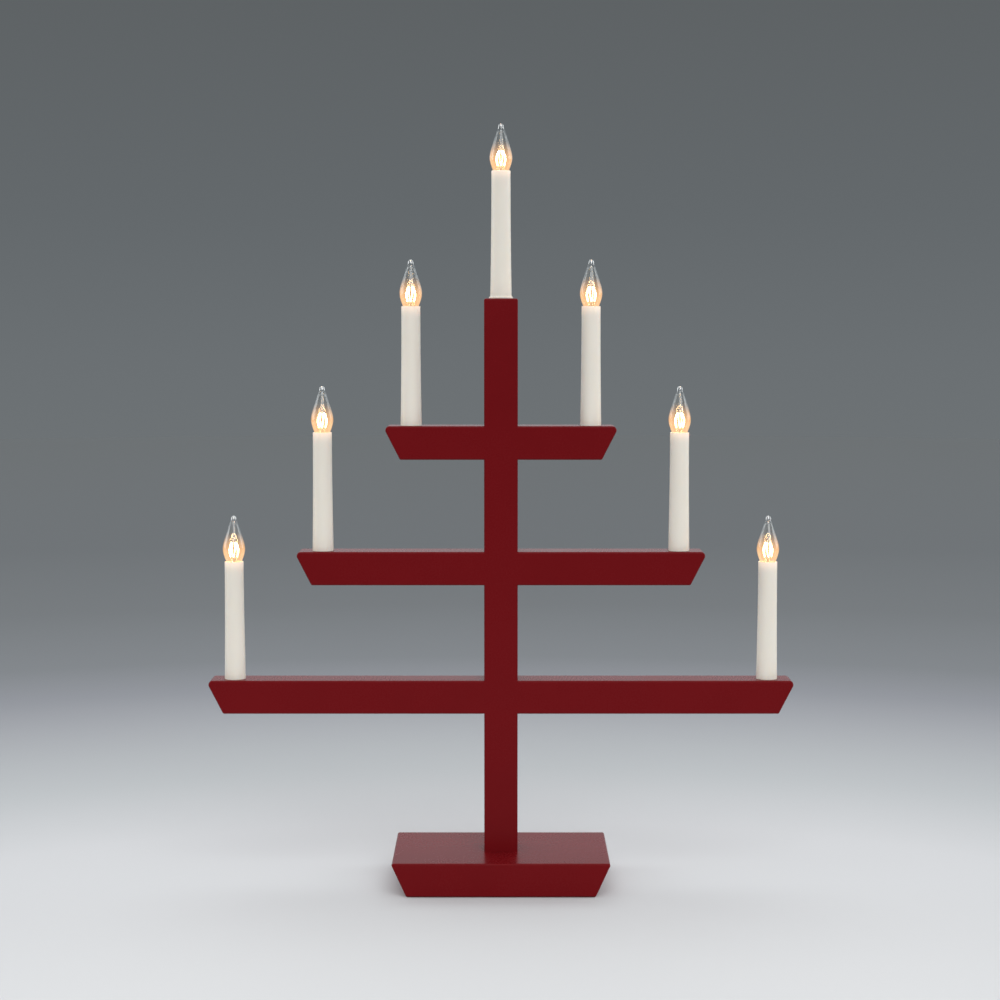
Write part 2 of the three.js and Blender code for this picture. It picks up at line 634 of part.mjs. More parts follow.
const candlePieces = {
  lamp_holder: [lampHolder(), whitePlastic],
  socket_shell: [socketShell(), brass],
  bulb_glass: [bulbGlass(), clearGlass],
  bulb_cap: [bulbCap(), brass],
  filament_mount: [filamentMount(), filamentWire],
};
for (const { name, x, seat, standsFree } of candles) {
  tree.add(node(`candle_sleeve_${name}`, candleSleeve(standsFree), ivoryPlastic, [x, 0, seat]));
  for (const [piece, [geometry, material]] of Object.entries(candlePieces)) {
    tree.add(node(`${piece}_${name}`, geometry, material, [x, 0, seat]));
  }
}

tree.add(node("wiring", wiring(candles), leadSheath));
tree.add(node("cord_bush", cordBush(), blackRubber, [0, 0, OUTLET_HEIGHT]));
const terminalY = TERMINAL_FRONT + TERMINAL_SIZE.y / 2;
tree.add(node("terminal_block", terminalBlock(), whitePlastic, [0, terminalY, TERMINAL_LOW]));

export default tree;
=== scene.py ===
"""The looks of an electric candle tree: painted wood, seven candles, their bulbs and leads.

Metres, with Z up and the front facing -Y. The origin is under the middle of the foot.
"""

import math
from contextlib import contextmanager

import bmesh
import bpy
from bpy.props import FloatProperty, FloatVectorProperty, IntProperty, PointerProperty
from bpy.types import Operator, Panel, PropertyGroup
from mathutils import Matrix, Vector


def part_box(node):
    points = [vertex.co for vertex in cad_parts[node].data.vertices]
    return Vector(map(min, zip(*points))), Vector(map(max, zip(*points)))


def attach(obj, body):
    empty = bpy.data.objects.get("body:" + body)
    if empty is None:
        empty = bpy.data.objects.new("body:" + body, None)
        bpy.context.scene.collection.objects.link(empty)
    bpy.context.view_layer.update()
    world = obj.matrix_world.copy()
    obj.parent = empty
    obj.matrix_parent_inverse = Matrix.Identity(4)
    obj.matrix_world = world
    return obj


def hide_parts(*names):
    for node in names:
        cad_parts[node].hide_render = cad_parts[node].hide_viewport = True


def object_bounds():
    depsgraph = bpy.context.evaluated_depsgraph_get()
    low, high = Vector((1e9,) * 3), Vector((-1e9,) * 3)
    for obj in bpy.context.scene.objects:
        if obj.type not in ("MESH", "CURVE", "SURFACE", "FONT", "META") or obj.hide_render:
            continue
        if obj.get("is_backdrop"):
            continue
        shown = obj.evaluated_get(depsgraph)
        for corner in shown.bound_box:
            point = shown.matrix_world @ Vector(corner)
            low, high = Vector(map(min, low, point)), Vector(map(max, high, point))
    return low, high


bl_info = {
    "name": "Electric Candle Tree",
    "version": (1, 0, 0),
    "blender": (4, 5, 0),
    "location": "View3D > Sidebar > Candle Tree",
    "description": "Makes a painted wooden candle tree with seven electric candles",
    "category": "Add Mesh",
}

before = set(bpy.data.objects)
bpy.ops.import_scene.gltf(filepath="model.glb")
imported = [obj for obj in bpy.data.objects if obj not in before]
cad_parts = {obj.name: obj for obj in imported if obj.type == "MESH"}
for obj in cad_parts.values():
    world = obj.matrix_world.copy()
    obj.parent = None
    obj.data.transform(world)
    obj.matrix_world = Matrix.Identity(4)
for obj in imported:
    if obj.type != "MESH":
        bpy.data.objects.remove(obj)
CAD_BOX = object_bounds()
MM = 0.001


def millimetres(*numbers):
    """A place in metres, from its numbers in millimetres."""
    return Vector([number * MM for number in numbers])


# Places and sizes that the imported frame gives
POST_LOW, POST_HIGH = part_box("post")
FOOT_LOW, FOOT_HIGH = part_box("foot_block")
FELT_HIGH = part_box("foot_felt")[1]
ARMS = {level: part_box(f"arm_{level}") for level in ("lower", "middle", "upper")}
HALF = POST_HIGH.x
SLEEVE = "candle_sleeve_"
CANDLES = {}
for sleeve_node in sorted(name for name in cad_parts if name.startswith(SLEEVE)):
    sleeve_low, sleeve_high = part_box(sleeve_node)
    axis = (sleeve_low.x + sleeve_high.x) / 2
    CANDLES[sleeve_node.removeprefix(SLEEVE)] = Vector((axis, 0, sleeve_low.z))

# Joinery
SEAT_RADIUS = 10.6 * MM
SEAT_DEPTH = 7 * MM
HOLE_RADIUS = 6 * MM
HOLE_DEPTH = 17 * MM
LEAD_HOLE_RADIUS = 4 * MM
PILOT_RADIUS = 2.2 * MM
PILOT_DEPTH = 34.3 * MM
GROOVE_HALF = 4 * MM
GROOVE_FLOOR = 2 * MM
GROOVE_MIDDLE = 7.75 * MM
GROOVE_STOP = 8 * MM
ARM_GROOVE_DROP = 20 * MM
STRIP_THICKNESS = 2.5 * MM
STRIP_HALF = 6 * MM
STRIP_GAP = 0.3 * MM
STRIP_OVERRUN = 8 * MM
OVERCUT = 1 * MM
MERGE_DISTANCE = 0.001 * MM
SCREW_PLACES = {"left": millimetres(-9, -9, 0), "right": millimetres(9, -9, 0)}
POCKET_LOW = millimetres(-19, 3.75, 0)
POCKET_HIGH = millimetres(19, 46, 23.1)
OUTLET = millimetres(0, 0, 14)
TERMINAL_LOW = millimetres(-10, 17.75, 12.1)
TERMINAL_HIGH = millimetres(10, 29.75, 23.1)
TERMINAL_PITCH = 10 * MM
TERMINAL_BORE_RISE = 4 * MM

# Heights on a candle, above its seat
MOUTH = 120 * MM
SOCKET_FLOOR = 95.655 * MM
THREAD_PITCH = 1.81 * MM
NECK_END = 107.5 * MM
LEAD_DROP = 13 * MM

# The least angle between faces that makes a sharp edge
SHARP = math.radians(35)

# Turns a piece's axis from up to backwards
BACKWARDS = Matrix.Rotation(-math.pi / 2, 4, "X")


def srgb(red, green, blue):
    """The linear colour of three 0 to 255 numbers."""
    shares = [channel / 255 for channel in (red, green, blue)]
    return tuple(s / 12.92 if s <= 0.04045 else ((s + 0.055) / 1.055) ** 2.4 for s in shares)


def tinted(plain, factor):
    """A colour made darker or lighter by a factor."""
    return tuple(factor * channel for channel in plain)


def amount(name, description, default, **kind):
    return FloatProperty(name=name, description=description, default=default, **kind)


def size(name, description, length):
    """A length whose default is given in millimetres."""
    return amount(name, description, length * MM, unit="LENGTH", precision=5)


def colour(name, description, red, green, blue):
    return FloatVectorProperty(
        name=name, description=description, default=srgb(red, green, blue), subtype="COLOR", size=3
    )


def share(name, description, default):
    return amount(name, description, default, subtype="FACTOR", min=0, max=1)


def angle(name, description, degrees):
    return amount(name, description, math.radians(degrees), subtype="ANGLE")


class WoodSettings(PropertyGroup):
    edge: size("Edge rounding", "Rounding of the long edges under the paint", 1.6)
    corner: size("Corner rounding", "Rounding of the corners seen from the front", 2.0)
    tip: size("Tip rounding", "Rounding of the arms' tips seen from the front", 4.0)
    arm_slant: angle("Arm slant", "Undercut of the ends of the arms", 27.0)
    foot_slant: angle("Foot slant", "Undercut of the ends of the foot", 24.7)
    strip_edge: size("Strip edge", "Chamfer along the strips that close the grooves", 0.25)
    paint: colour("Paint", "Colour of the red satin paint", 102, 13, 18)
    gloss: share("Paint roughness", "Roughness of the satin paint", 0.27)
    felt: colour("Felt", "Colour of the felt under the foot", 58, 52, 51)
    felt_corner: size("Felt corner", "Corner radius of the felt sheet", 3)


class CandleSettings(PropertyGroup):
    mouth: size("Mouth radius", "Radius of a sleeve at its mouth", 9)
    foot: size("Foot radius", "Radius of a sleeve at its foot", 10.2)
    wall: size("Wall", "Wall of a sleeve", 0.8)
    rim: size("Rim radius", "Radius of the rim under the top sleeve", 11.3)
    rim_height: size("Rim height", "Height of the rim under the top sleeve", 1.8)
    ivory: colour("Ivory", "Colour of the sleeves", 225, 219, 208)
    white: colour("Holder plastic", "Colour of the lamp holders", 226, 221, 210)
    ribs: IntProperty(name="Ribs", description="Ribs around a lamp holder's stem", default=6, min=3)


class BulbSettings(PropertyGroup):
    wall: size("Glass wall", "Wall of the flame-shaped glass", 0.6)
    wire: size("Filament wire", "Radius of the coiled wire", 0.1)
    coil: size("Coil radius", "Radius of the filament's coil", 0.32)
    pitch: size("Coil pitch", "Distance between two turns of the coil", 0.6)
    cage: size("Cage radius", "Radius that the filament zigzags around at its foot", 3.4)
    belly: size("Cage belly", "Radius of the cage half way up", 4.6)
    crown: size("Crown radius", "Radius of the cage at its top", 2.2)
    foot: size("Filament foot", "Height of the lower bends above the mouth", 4.5)
    top: size("Filament top", "Height of the upper bends above the mouth", 18.5)
    limbs: IntProperty(name="Limbs", description="Straight runs of the filament", default=8, min=2)
    glow: FloatVectorProperty(
        name="Glow", description="Light of the filament", default=(1.0, 0.6, 0.28), subtype="COLOR"
    )
    power: amount("Power", "Strength of the filament's light", 30)
    brass: colour("Brass", "Colour of the caps and shells", 214, 181, 112)


class LeadSettings(PropertyGroup):
    sheath: colour("Sheath", "Colour of the insulated leads", 217, 212, 200)
    pair: size("Pair lead", "Radius of a lead in a candle's twisted pair", 0.62)
    trunk: size("Trunk lead", "Radius of a lead in the post", 0.72)
    trunk_wind: size("Trunk winding", "Radius that the post's leads are wound at", 1.2)
    bend: size("Bend radius", "Radius of a bend in the leads", 2.5)
    rubber: colour("Rubber", "Colour of the cord's bush", 34, 32, 32)


class StageSettings(PropertyGroup):
    floor: colour("Floor", "Colour of the floor near the foot", 204, 206, 208)
    lens: amount("Lens", "Focal length", 75.6, subtype="DISTANCE_CAMERA")
    camera: FloatVectorProperty(
        name="Camera", description="Place of the camera", default=(-0.0009, -2.0, 0.5411),
        subtype="TRANSLATION", unit="LENGTH",
    )
    pitch: amount("Pitch", "How far the camera looks down", 0.085, subtype="ANGLE")
    ambient: amount("Ambient", "Light from all around", 0.65)
    front: amount("Front light", "Light from the front, W/m2", 1.5)
    top: amount("Top light", "Light from above and behind, W/m2", 0.8)
    side: amount("Side lights", "Light from each side, W/m2", 0.8)


class TreeSettings(PropertyGroup):
    wood: PointerProperty(type=WoodSettings)
    candle: PointerProperty(type=CandleSettings)
    bulb: PointerProperty(type=BulbSettings)
    lead: PointerProperty(type=LeadSettings)
    stage: PointerProperty(type=StageSettings)


def settings():
    return bpy.context.scene.candle_tree


class Value:
    """A socket that takes part in arithmetic."""

    def __init__(self, graph, socket):
        self.graph = graph
        self.socket = socket

    def __add__(self, other):
        return self.graph.math("ADD", self, other)

    def __radd__(self, other):
        return self.graph.math("ADD", other, self)

    def __sub__(self, other):
        return self.graph.math("SUBTRACT", self, other)

    def __rsub__(self, other):
        return self.graph.math("SUBTRACT", other, self)

    def __mul__(self, other):
        return self.graph.math("MULTIPLY", self, other)

    def __rmul__(self, other):
        return self.graph.math("MULTIPLY", other, self)

    def __truediv__(self, other):
        return self.graph.math("DIVIDE", self, other)

    def __rtruediv__(self, other):
        return self.graph.math("DIVIDE", other, self)

    def __pow__(self, other):
        return self.graph.math("POWER", self, other)


class Graph:
    """Adds nodes to a tree and joins them."""

    def __init__(self, tree):
        self.tree = tree

    def node(self, kind, given=None, **chosen):
        """A node of a kind: its settings are chosen first, then its sockets are given."""
        made = self.tree.nodes.new(kind)
        for name, choice in chosen.items():
            if name == "stops":
                self.set_stops(made.color_ramp, choice)
            else:
                setattr(made, name, choice)
        for key, source in (given or {}).items():
            if isinstance(source, Value):
                self.tree.links.new(source.socket, made.inputs[key])
            else:
                made.inputs[key].default_value = source
        return made

    def set_stops(self, ramp, stops):
        """The colours of a ramp, with the places in order."""
        while len(ramp.elements) < len(stops):
            ramp.elements.new(1)
        for element, (place, stop_colour) in zip(ramp.elements, stops):
            element.position = place
            element.color = (*stop_colour, 1)

    def get(self, kind, output=0, given=None, **chosen):
        return Value(self, self.node(kind, given, **chosen).outputs[output])

    def math(self, operation, *values):
        return self.get("ShaderNodeMath", 0, dict(enumerate(values)), operation=operation)

    def vector(self, operation, *values):
        return self.get("ShaderNodeVectorMath", 0, dict(enumerate(values)), operation=operation)

    def stretched(self, vector, factor):
        given = {0: vector, "Scale": factor}
        return self.get("ShaderNodeVectorMath", 0, given, operation="SCALE")

    def eased(self, value, low, high):
        """0 below the low value and 1 above the high one, with a smooth rise between."""
        given = {"Value": value, "From Min": low, "From Max": high}
        return self.get("ShaderNodeMapRange", 0, given, interpolation_type="SMOOTHSTEP")


class Finish(Graph):
    """The node tree of a material."""

    def __init__(self, name):
        self.material = bpy.data.materials.new(name)
        self.material.use_nodes = True
        super().__init__(self.material.node_tree)
        self.tree.nodes.clear()

    def place(self, stretch=(1, 1, 1)):
        """The place on the object, stretched by a factor along each axis."""
        here = self.get("ShaderNodeTexCoord", "Object")
        return self.get("ShaderNodeMapping", 0, {"Vector": here, "Scale": stretch})

    def noise(self, place, width, detail=2):
        """Soft noise about one half, with blotches about as wide as given."""
        given = {"Vector": place, "Scale": 1 / width, "Detail": detail}
        return self.get("ShaderNodeTexNoise", "Fac", given)

    def rise(self):
        """Height above the candle's seat, kept on the mesh when it was turned."""
        return self.get("ShaderNodeAttribute", "Fac", attribute_name="rise")

    def mix(self, factor, first, second):
        colours = [c if isinstance(c, Value) else (*c, 1) for c in (first, second)]
        given = {0: factor, 6: colours[0], 7: colours[1]}
        return self.get("ShaderNodeMix", 2, given, data_type="RGBA")

    def bump(self, height, depth):
        return self.get("ShaderNodeBump", 0, {"Height": height, "Distance": depth})

    def facing(self):
        """0 where the surface is seen square on, 1 where it is seen edge on."""
        return self.get("ShaderNodeLayerWeight", "Facing", {"Blend": 0.5})

    def thin_glass(self, edge, tint, rough):
        """Glass too thin to bend light: clear, with a share of gloss."""
        clear = self.get("ShaderNodeBsdfTransparent", 0, {"Color": (*tint, 1)})
        given = {"Color": (1, 1, 1, 1), "Roughness": rough}
        gloss = self.get("ShaderNodeBsdfAnisotropic", 0, given)
        return self.get("ShaderNodeMixShader", 0, {0: edge, 1: clear, 2: gloss})

    def cover(self, **given):
        """The finished material. Colours get their alpha, and an underline stands for a space."""
        sockets = {}
        for name, source in given.items():
            if isinstance(source, tuple) and len(source) == 3 and "Radius" not in name:
                source = (*source, 1)
            sockets[name.replace("_", " ")] = source
        return self.done(self.get("ShaderNodeBsdfPrincipled", 0, sockets))

    def done(self, shader):
        self.node("ShaderNodeOutputMaterial", {"Surface": shader})
        return self.material


def satin_paint(name):
    """Red satin paint, sprayed: faint clouds in the colour, a fine orange peel."""
    wood = settings().wood
    look = Finish(name)
    place = look.place()
    clouds = look.noise(place, 70 * MM, detail=3)
    peel = look.noise(place, 1.6 * MM, detail=1)
    waves = look.noise(place, 9 * MM)
    return look.cover(
        Base_Color=look.mix(clouds, tinted(wood.paint, 0.93), tinted(wood.paint, 1.07)),
        Roughness=wood.gloss + 0.08 * (clouds - 0.5) + 0.05 * (peel - 0.5),
        Normal=look.bump(0.3 * peel + 0.7 * waves, 0.0025 * MM),
        Specular_IOR_Level=0.06,
    )


def dark_felt(name):
    """Pressed felt with short fibres."""
    felt = settings().wood.felt
    look = Finish(name)
    fibres = look.noise(look.place((1, 0.25, 1)), 0.5 * MM, detail=4)
    tufts = look.noise(look.place(), 4 * MM, detail=3)
    return look.cover(
        Base_Color=look.mix(0.6 * fibres + 0.4 * tufts, tinted(felt, 0.6), tinted(felt, 1.5)),
        Roughness=0.92 + 0.08 * fibres,
        Normal=look.bump(fibres + tufts, 0.12 * MM),
        Sheen_Weight=0.3,
    )


def moulded_ivory(name):
    """Moulded ivory plastic of the sleeves, with a painted glow at the mouth that stands in for the
    bulb's light.
    """
    ivory = settings().candle.ivory
    look = Finish(name)
    flow = look.noise(look.place((1, 1, 0.15)), 12 * MM)
    grain = look.noise(look.place(), 0.9 * MM)
    # Painted glow: emission on the top 14 mm of the sleeve stands in for the bulb shining through
    # the plastic
    painted_mouth_glow = look.eased(look.rise(), MOUTH - 14 * MM, MOUTH)
    return look.cover(
        Base_Color=look.mix(flow, tinted(ivory, 0.96), ivory),
        Roughness=0.42 + 0.08 * (grain - 0.5) + 0.05 * (flow - 0.5),
        Normal=look.bump(grain, 0.01 * MM),
        Specular_IOR_Level=0.35,
        Subsurface_Weight=0.2,
        Subsurface_Radius=(1.0, 0.7, 0.45),
        Subsurface_Scale=1.5 * MM,
        Emission_Color=look.mix(painted_mouth_glow * painted_mouth_glow, (0, 0, 0), (1.0, 0.6, 0.36)),
        Emission_Strength=0.25,
    )


def moulded_white(name):
    """Moulded plastic of the holders and the terminal block."""
    white = settings().candle.white
    look = Finish(name)
    place = look.place()
    flow = look.noise(place, 6 * MM)
    grain = look.noise(place, 0.4 * MM)
    return look.cover(
        Base_Color=look.mix(flow, tinted(white, 0.95), white),
        Roughness=0.5 + 0.1 * (grain - 0.5),
        Normal=look.bump(grain, 0.012 * MM),
    )


def metal(name, shine, rough, streak):
    """Metal with fine marks that run around a turned piece."""
    look = Finish(name)
    marks = look.noise(look.place((0.15, 0.15, 1)), streak)
    stain = look.noise(look.place(), 3 * MM, detail=3)
    return look.cover(
        Base_Color=look.mix(stain, tinted(shine, 0.8), shine),
        Metallic=1.0,
        Roughness=rough + 0.12 * (marks - 0.5) + 0.1 * (stain - 0.5),
        Normal=look.bump(marks, 0.008 * MM),
    )


def rolled_brass(name):
    return metal(name, settings().bulb.brass, 0.26, 0.25 * MM)


def screw_steel(name):
    return metal(name, srgb(186, 188, 190), 0.32, 0.2 * MM)


def nickel_wire(name):
    return metal(name, srgb(176, 172, 165), 0.38, 0.4 * MM)


def solder(name):
    return metal(name, srgb(190, 190, 188), 0.42, 0.8 * MM)


def blotched(name, dark, light, blotch, rough, vary, depth, grain=None, detail=3):
    """A surface with blotches in its colour and roughness, and a relief of a finer grain."""
    look = Finish(name)
    cloud = look.noise(look.place(), blotch, detail=detail)
    relief = look.noise(look.place(), grain) if grain else cloud
    return look.cover(
        Base_Color=look.mix(cloud, dark, light),
        Roughness=rough + vary * cloud,
        Normal=look.bump(relief, depth),
    )


def black_glass(name):
    """The fused insulator around the cap's contact."""
    sizes = {"blotch": 1.2 * MM, "rough": 0.16, "vary": 0.15, "depth": 0.03 * MM}
    return blotched(name, srgb(20, 18, 26), srgb(44, 40, 52), **sizes)


def cap_cement(name):
    """The baked cement that holds the glass in its cap."""
    sizes = {"blotch": 0.5 * MM, "rough": 0.85, "vary": 0.1, "depth": 0.08 * MM, "detail": 4}
    return blotched(name, srgb(150, 128, 96), srgb(196, 178, 146), **sizes)


def lead_insulation(name):
    """Soft plastic around the leads."""
    sheath = settings().lead.sheath
    sizes = {"blotch": 5 * MM, "rough": 0.5, "vary": 0.15, "depth": 0.015 * MM, "grain": 0.5 * MM}
    return blotched(name, tinted(sheath, 0.88), sheath, **sizes)


def bush_rubber(name):
    """Moulded rubber with a dusty bloom."""
    rubber = settings().lead.rubber
    sizes = {"blotch": 3 * MM, "rough": 0.62, "vary": 0.2, "depth": 0.02 * MM, "grain": 0.3 * MM}
    return blotched(name, rubber, tinted(rubber, 1.8), **sizes)


def bulb_glass(name):
    """Thin clear glass, pale where it is seen edge on, with a painted orange glow around the
    filament.
    """
    look = Finish(name)
    facing = look.facing()
    height = look.rise() - MOUTH
    bead = look.eased(height, 38 * MM, 42 * MM)
    above = look.eased(height, 29 * MM, 6 * MM)
    below = look.eased(height, -9 * MM, 4 * MM)
    ripple = look.noise(look.place(), 5 * MM)
    glass = look.thin_glass(0.04 + 0.8 * facing**5 + 0.25 * bead, (0.97, 0.975, 0.97), 0.03)
    # Painted glow: emission between the filament's heights, stronger towards the edges, stands in
    # for its light scattered in the glass
    painted_glow_share = above * below * (0.12 + 0.06 * ripple) * (1 + 0.5 * facing)
    painted_glow = look.get("ShaderNodeEmission", 0, {"Color": (1.0, 0.52, 0.21, 1), "Strength": 1.9})
    return look.done(look.get("ShaderNodeMixShader", 0, {0: painted_glow_share, 1: glass, 2: painted_glow}))


def stem_glass(name):
    """Drawn and pinched glass of the stem that carries the wires."""
    look = Finish(name)
    swirl = look.noise(look.place((1, 1, 0.4)), 1.5 * MM)
    edge = 0.12 + 0.2 * swirl + 0.5 * look.facing() ** 3
    return look.done(look.thin_glass(edge, (0.93, 0.95, 0.94), 0.06))


def lit_filament(name):
    """Tungsten at heat, cooler where it meets the wires that hold it."""
    bulb = settings().bulb
    look = Finish(name)
    along = look.get("ShaderNodeAttribute", "Fac", attribute_name="along")
    heat = look.eased(4 * along * (1 - along), 0.0, 0.25)
    flicker = look.noise(look.place(), 2 * MM)
    ember = tuple(channel * dim for channel, dim in zip(bulb.glow, (0.6, 0.4, 0.25)))
    return look.cover(
        Base_Color=look.mix(flicker, srgb(90, 80, 74), srgb(120, 108, 96)),
        Metallic=1.0,
        Roughness=0.4 + 0.1 * flicker,
        Emission_Color=look.mix(heat, ember, bulb.glow),
        Emission_Strength=bulb.power,
    )


def finish(make):
    """The material that a function makes, made the first time that it is asked for."""
    return bpy.data.materials.get(make.__name__) or make(make.__name__)


class Recipe(Graph):
    """A geometry node tree with named inputs for its sizes."""

    def __init__(self, name, sizes):
        super().__init__(bpy.data.node_groups.new(name, "GeometryNodeTree"))
        sockets = self.tree.interface
        sockets.new_socket("Geometry", in_out="OUTPUT", socket_type="NodeSocketGeometry")
        sockets.new_socket("Geometry", in_out="INPUT", socket_type="NodeSocketGeometry")
        self.identifiers = {}
        for label, (kind, default) in {**sizes, "Material": ("Material", None)}.items():
            socket = sockets.new_socket(label, in_out="INPUT", socket_type=f"NodeSocket{kind}")
            if default is not None:
                socket.default_value = default
            self.identifiers[label] = socket.identifier
        self.entry = self.tree.nodes.new("NodeGroupInput")

    def __getitem__(self, label):
        return Value(self, self.entry.outputs[label])

    def noted(self, geometry, name, value):
        """Geometry with a value kept on its points under a name."""
        given = {"Geometry": geometry, "Name": name, "Value": value}
        kept = {"data_type": "FLOAT", "domain": "POINT"}
        return self.get("GeometryNodeStoreNamedAttribute", 0, given, **kept)

    def close(self, geometry):
        """Ends the tree in plain geometry with its material."""
        smooth = self.get("GeometryNodeSetShadeSmooth", 0, {"Geometry": geometry})
        real = self.get("GeometryNodeRealizeInstances", 0, {"Geometry": smooth})
        covered = self.get("GeometryNodeSetMaterial", 0, {0: real, 2: self["Material"]})
        self.node("NodeGroupOutput", {0: covered})

    def make(self, source, material, **sizes):
        """The mesh made of a source mesh. An underline in a size's name stands for a space."""
        subject = shown("subject", source)
        modifier = subject.modifiers.new("recipe", "NODES")
        modifier.node_group = self.tree
        modifier[self.identifiers["Material"]] = finish(material)
        for label, value in sizes.items():
            modifier[self.identifiers[label.replace("_", " ")]] = value
        return baked(subject)


def turning():
    """Turns a profile about Z, and rolls a thread into it between two heights."""
    recipe = Recipe(
        "Turned piece",
        {
            "Sides": ("Int", 32),
            "Thread Low": ("Float", 0.0),
            "Thread High": ("Float", 0.0),
            "Thread Depth": ("Float", 0.0),
            "Thread Pitch": ("Float", THREAD_PITCH),
        },
    )
    outline = recipe["Geometry"]
    rows = recipe.get("GeometryNodeAttributeDomainSize", "Point Count", {0: outline})
    grid_size = {"Vertices X": recipe["Sides"] + 1, "Vertices Y": rows}
    grid = recipe.get("GeometryNodeMeshGrid", "Mesh", grid_size)
    index = recipe.get("GeometryNodeInputIndex")
    column = recipe.math("FLOOR", (index + 0.5) / rows)
    given = {
        "Geometry": outline,
        "Value": recipe.get("GeometryNodeInputPosition"),
        "Index": index - column * rows,
    }
    sampled = {"data_type": "FLOAT_VECTOR", "domain": "POINT"}
    place = recipe.get("GeometryNodeSampleIndex", 0, given, **sampled)
    parts = recipe.node("ShaderNodeSeparateXYZ", {0: place})
    radius = Value(recipe, parts.outputs["X"])
    height = Value(recipe, parts.outputs["Z"])
    share_around = column / recipe["Sides"]
    around = share_around * math.tau
    pitch = recipe["Thread Pitch"]
    crest = 0.5 + 0.5 * recipe.math("COSINE", (height / pitch - share_around) * math.tau)
    low = recipe["Thread Low"]
    high = recipe["Thread High"]
    begun = recipe.eased(height, low, low + pitch)
    ended = recipe.eased(height, high - pitch, high)
    rolled = radius - recipe["Thread Depth"] * (begun * (1 - ended)) * (1 - crest)
    given = {
        "X": rolled * recipe.math("COSINE", around),
        "Y": rolled * recipe.math("SINE", around),
        "Z": height,
    }
    point = recipe.get("ShaderNodeCombineXYZ", 0, given)
    shaped = recipe.get("GeometryNodeSetPosition", 0, {"Geometry": grid, "Position": point})
    marked = recipe.noted(shaped, "rise", point_height(recipe))
    given = {"Geometry": marked, "Distance": MERGE_DISTANCE}
    recipe.close(recipe.get("GeometryNodeMergeByDistance", 0, given))
    return recipe


def point_height(recipe):
    """The height of each point."""
    place = recipe.get("GeometryNodeInputPosition")
    return Value(recipe, recipe.node("ShaderNodeSeparateXYZ", {0: place}).outputs["Z"])


def winding():
    """Winds strands of round wire around a path. A winding radius of 0 leaves the wire straight."""
    recipe = Recipe(
        "Wound wire",
        {
            "Strands": ("Int", 1),
            "Winding": ("Float", 0.0),
            "Pitch": ("Float", 4 * MM),
            "Steps": ("Int", 4),
            "Wire": ("Float", 0.5 * MM),
            "Sides": ("Int", 6),
        },
    )
    path = recipe.get("GeometryNodeMeshToCurve", 0, {"Mesh": recipe["Geometry"]})
    length = recipe.get("GeometryNodeCurveLength", 0, {"Curve": path})
    pitch = recipe["Pitch"]
    count = recipe.math("CEIL", length / pitch * recipe["Steps"]) + 1
    cut = recipe.get("GeometryNodeResampleCurve", 0, {"Curve": path, "Count": count}, mode="COUNT")
    given = {"Geometry": cut, "Amount": recipe["Strands"]}
    copies = recipe.node("GeometryNodeDuplicateElements", given, domain="SPLINE")
    strand = Value(recipe, copies.outputs["Duplicate Index"])
    along = recipe.get("GeometryNodeSplineParameter", "Length")
    share_along = recipe.get("GeometryNodeSplineParameter", "Factor")
    turned_by = (along / pitch + strand / recipe["Strands"]) * math.tau
    normal = recipe.get("GeometryNodeInputNormal", "Normal")
    tangent = recipe.get("GeometryNodeInputTangent")
    side = recipe.vector("CROSS_PRODUCT", tangent, normal)
    wound = recipe.vector(
        "ADD",
        recipe.stretched(normal, recipe["Winding"] * recipe.math("COSINE", turned_by)),
        recipe.stretched(side, recipe["Winding"] * recipe.math("SINE", turned_by)),
    )
    strands = Value(recipe, copies.outputs["Geometry"])
    marked = recipe.noted(strands, "along", share_along)
    swung = recipe.get("GeometryNodeSetPosition", 0, {"Geometry": marked, "Offset": wound})
    given = {"Resolution": recipe["Sides"], "Radius": recipe["Wire"]}
    round_wire = recipe.get("GeometryNodeCurvePrimitiveCircle", 0, given)
    given = {"Curve": swung, "Profile Curve": round_wire, "Fill Caps": True}
    recipe.close(recipe.get("GeometryNodeCurveToMesh", 0, given))
    return recipe


def ringing():
    """Sets copies of a piece in a ring about Z, each turned to face outwards."""
    recipe = Recipe("Ring of pieces", {"Count": ("Int", 6), "Radius": ("Float", 5 * MM)})
    given = {"Vertices": recipe["Count"], "Radius": recipe["Radius"]}
    ring = recipe.get("GeometryNodeMeshCircle", 0, given)
    outwards = recipe.get("GeometryNodeInputPosition")
    facing = recipe.get("FunctionNodeAlignRotationToVector", 0, {"Vector": outwards}, axis="X")
    given = {"Points": ring, "Instance": recipe["Geometry"], "Rotation": facing}
    recipe.close(recipe.get("GeometryNodeInstanceOnPoints", 0, given))
    return recipe


RECIPES = {}


def recipe_of(make):
    """The node tree that a function makes, made the first time that it is asked for."""
    if make not in RECIPES:
        RECIPES[make] = make()
    return RECIPES[make]


def shown(name, data):
    """An object in the scene that holds a mesh, a lamp or a camera."""
    made = bpy.data.objects.new(name, data)
    bpy.context.scene.collection.objects.link(made)
    return made


def baked(subject):
    """The plain mesh of an object with its modifiers applied. The object goes."""
    bpy.context.view_layer.update()
    graph = bpy.context.evaluated_depsgraph_get()
    evaluated = subject.evaluated_get(graph)
    mesh = bpy.data.meshes.new_from_object(
        evaluated, preserve_all_data_layers=True, depsgraph=graph
    )
    bpy.data.objects.remove(subject)
    return mesh


def outlined(points):
    """A mesh with a line of edges through points."""
    mesh = bpy.data.meshes.new("line")
    mesh.from_pydata(points, [(i, i + 1) for i in range(len(points) - 1)], [])
    return mesh


def inside_corner(corners, number, distance):
    """The place as far from both sides of a corner, the ways along them, and half their angle."""
    corner = corners[number]
    before = (corners[number - 1] - corner).normalized()
    after = (corners[(number + 1) % len(corners)] - corner).normalized()
    half = before.angle(after) / 2
    place = corner + (before + after).normalized() * (distance / math.sin(half))
    return place, before, after, half


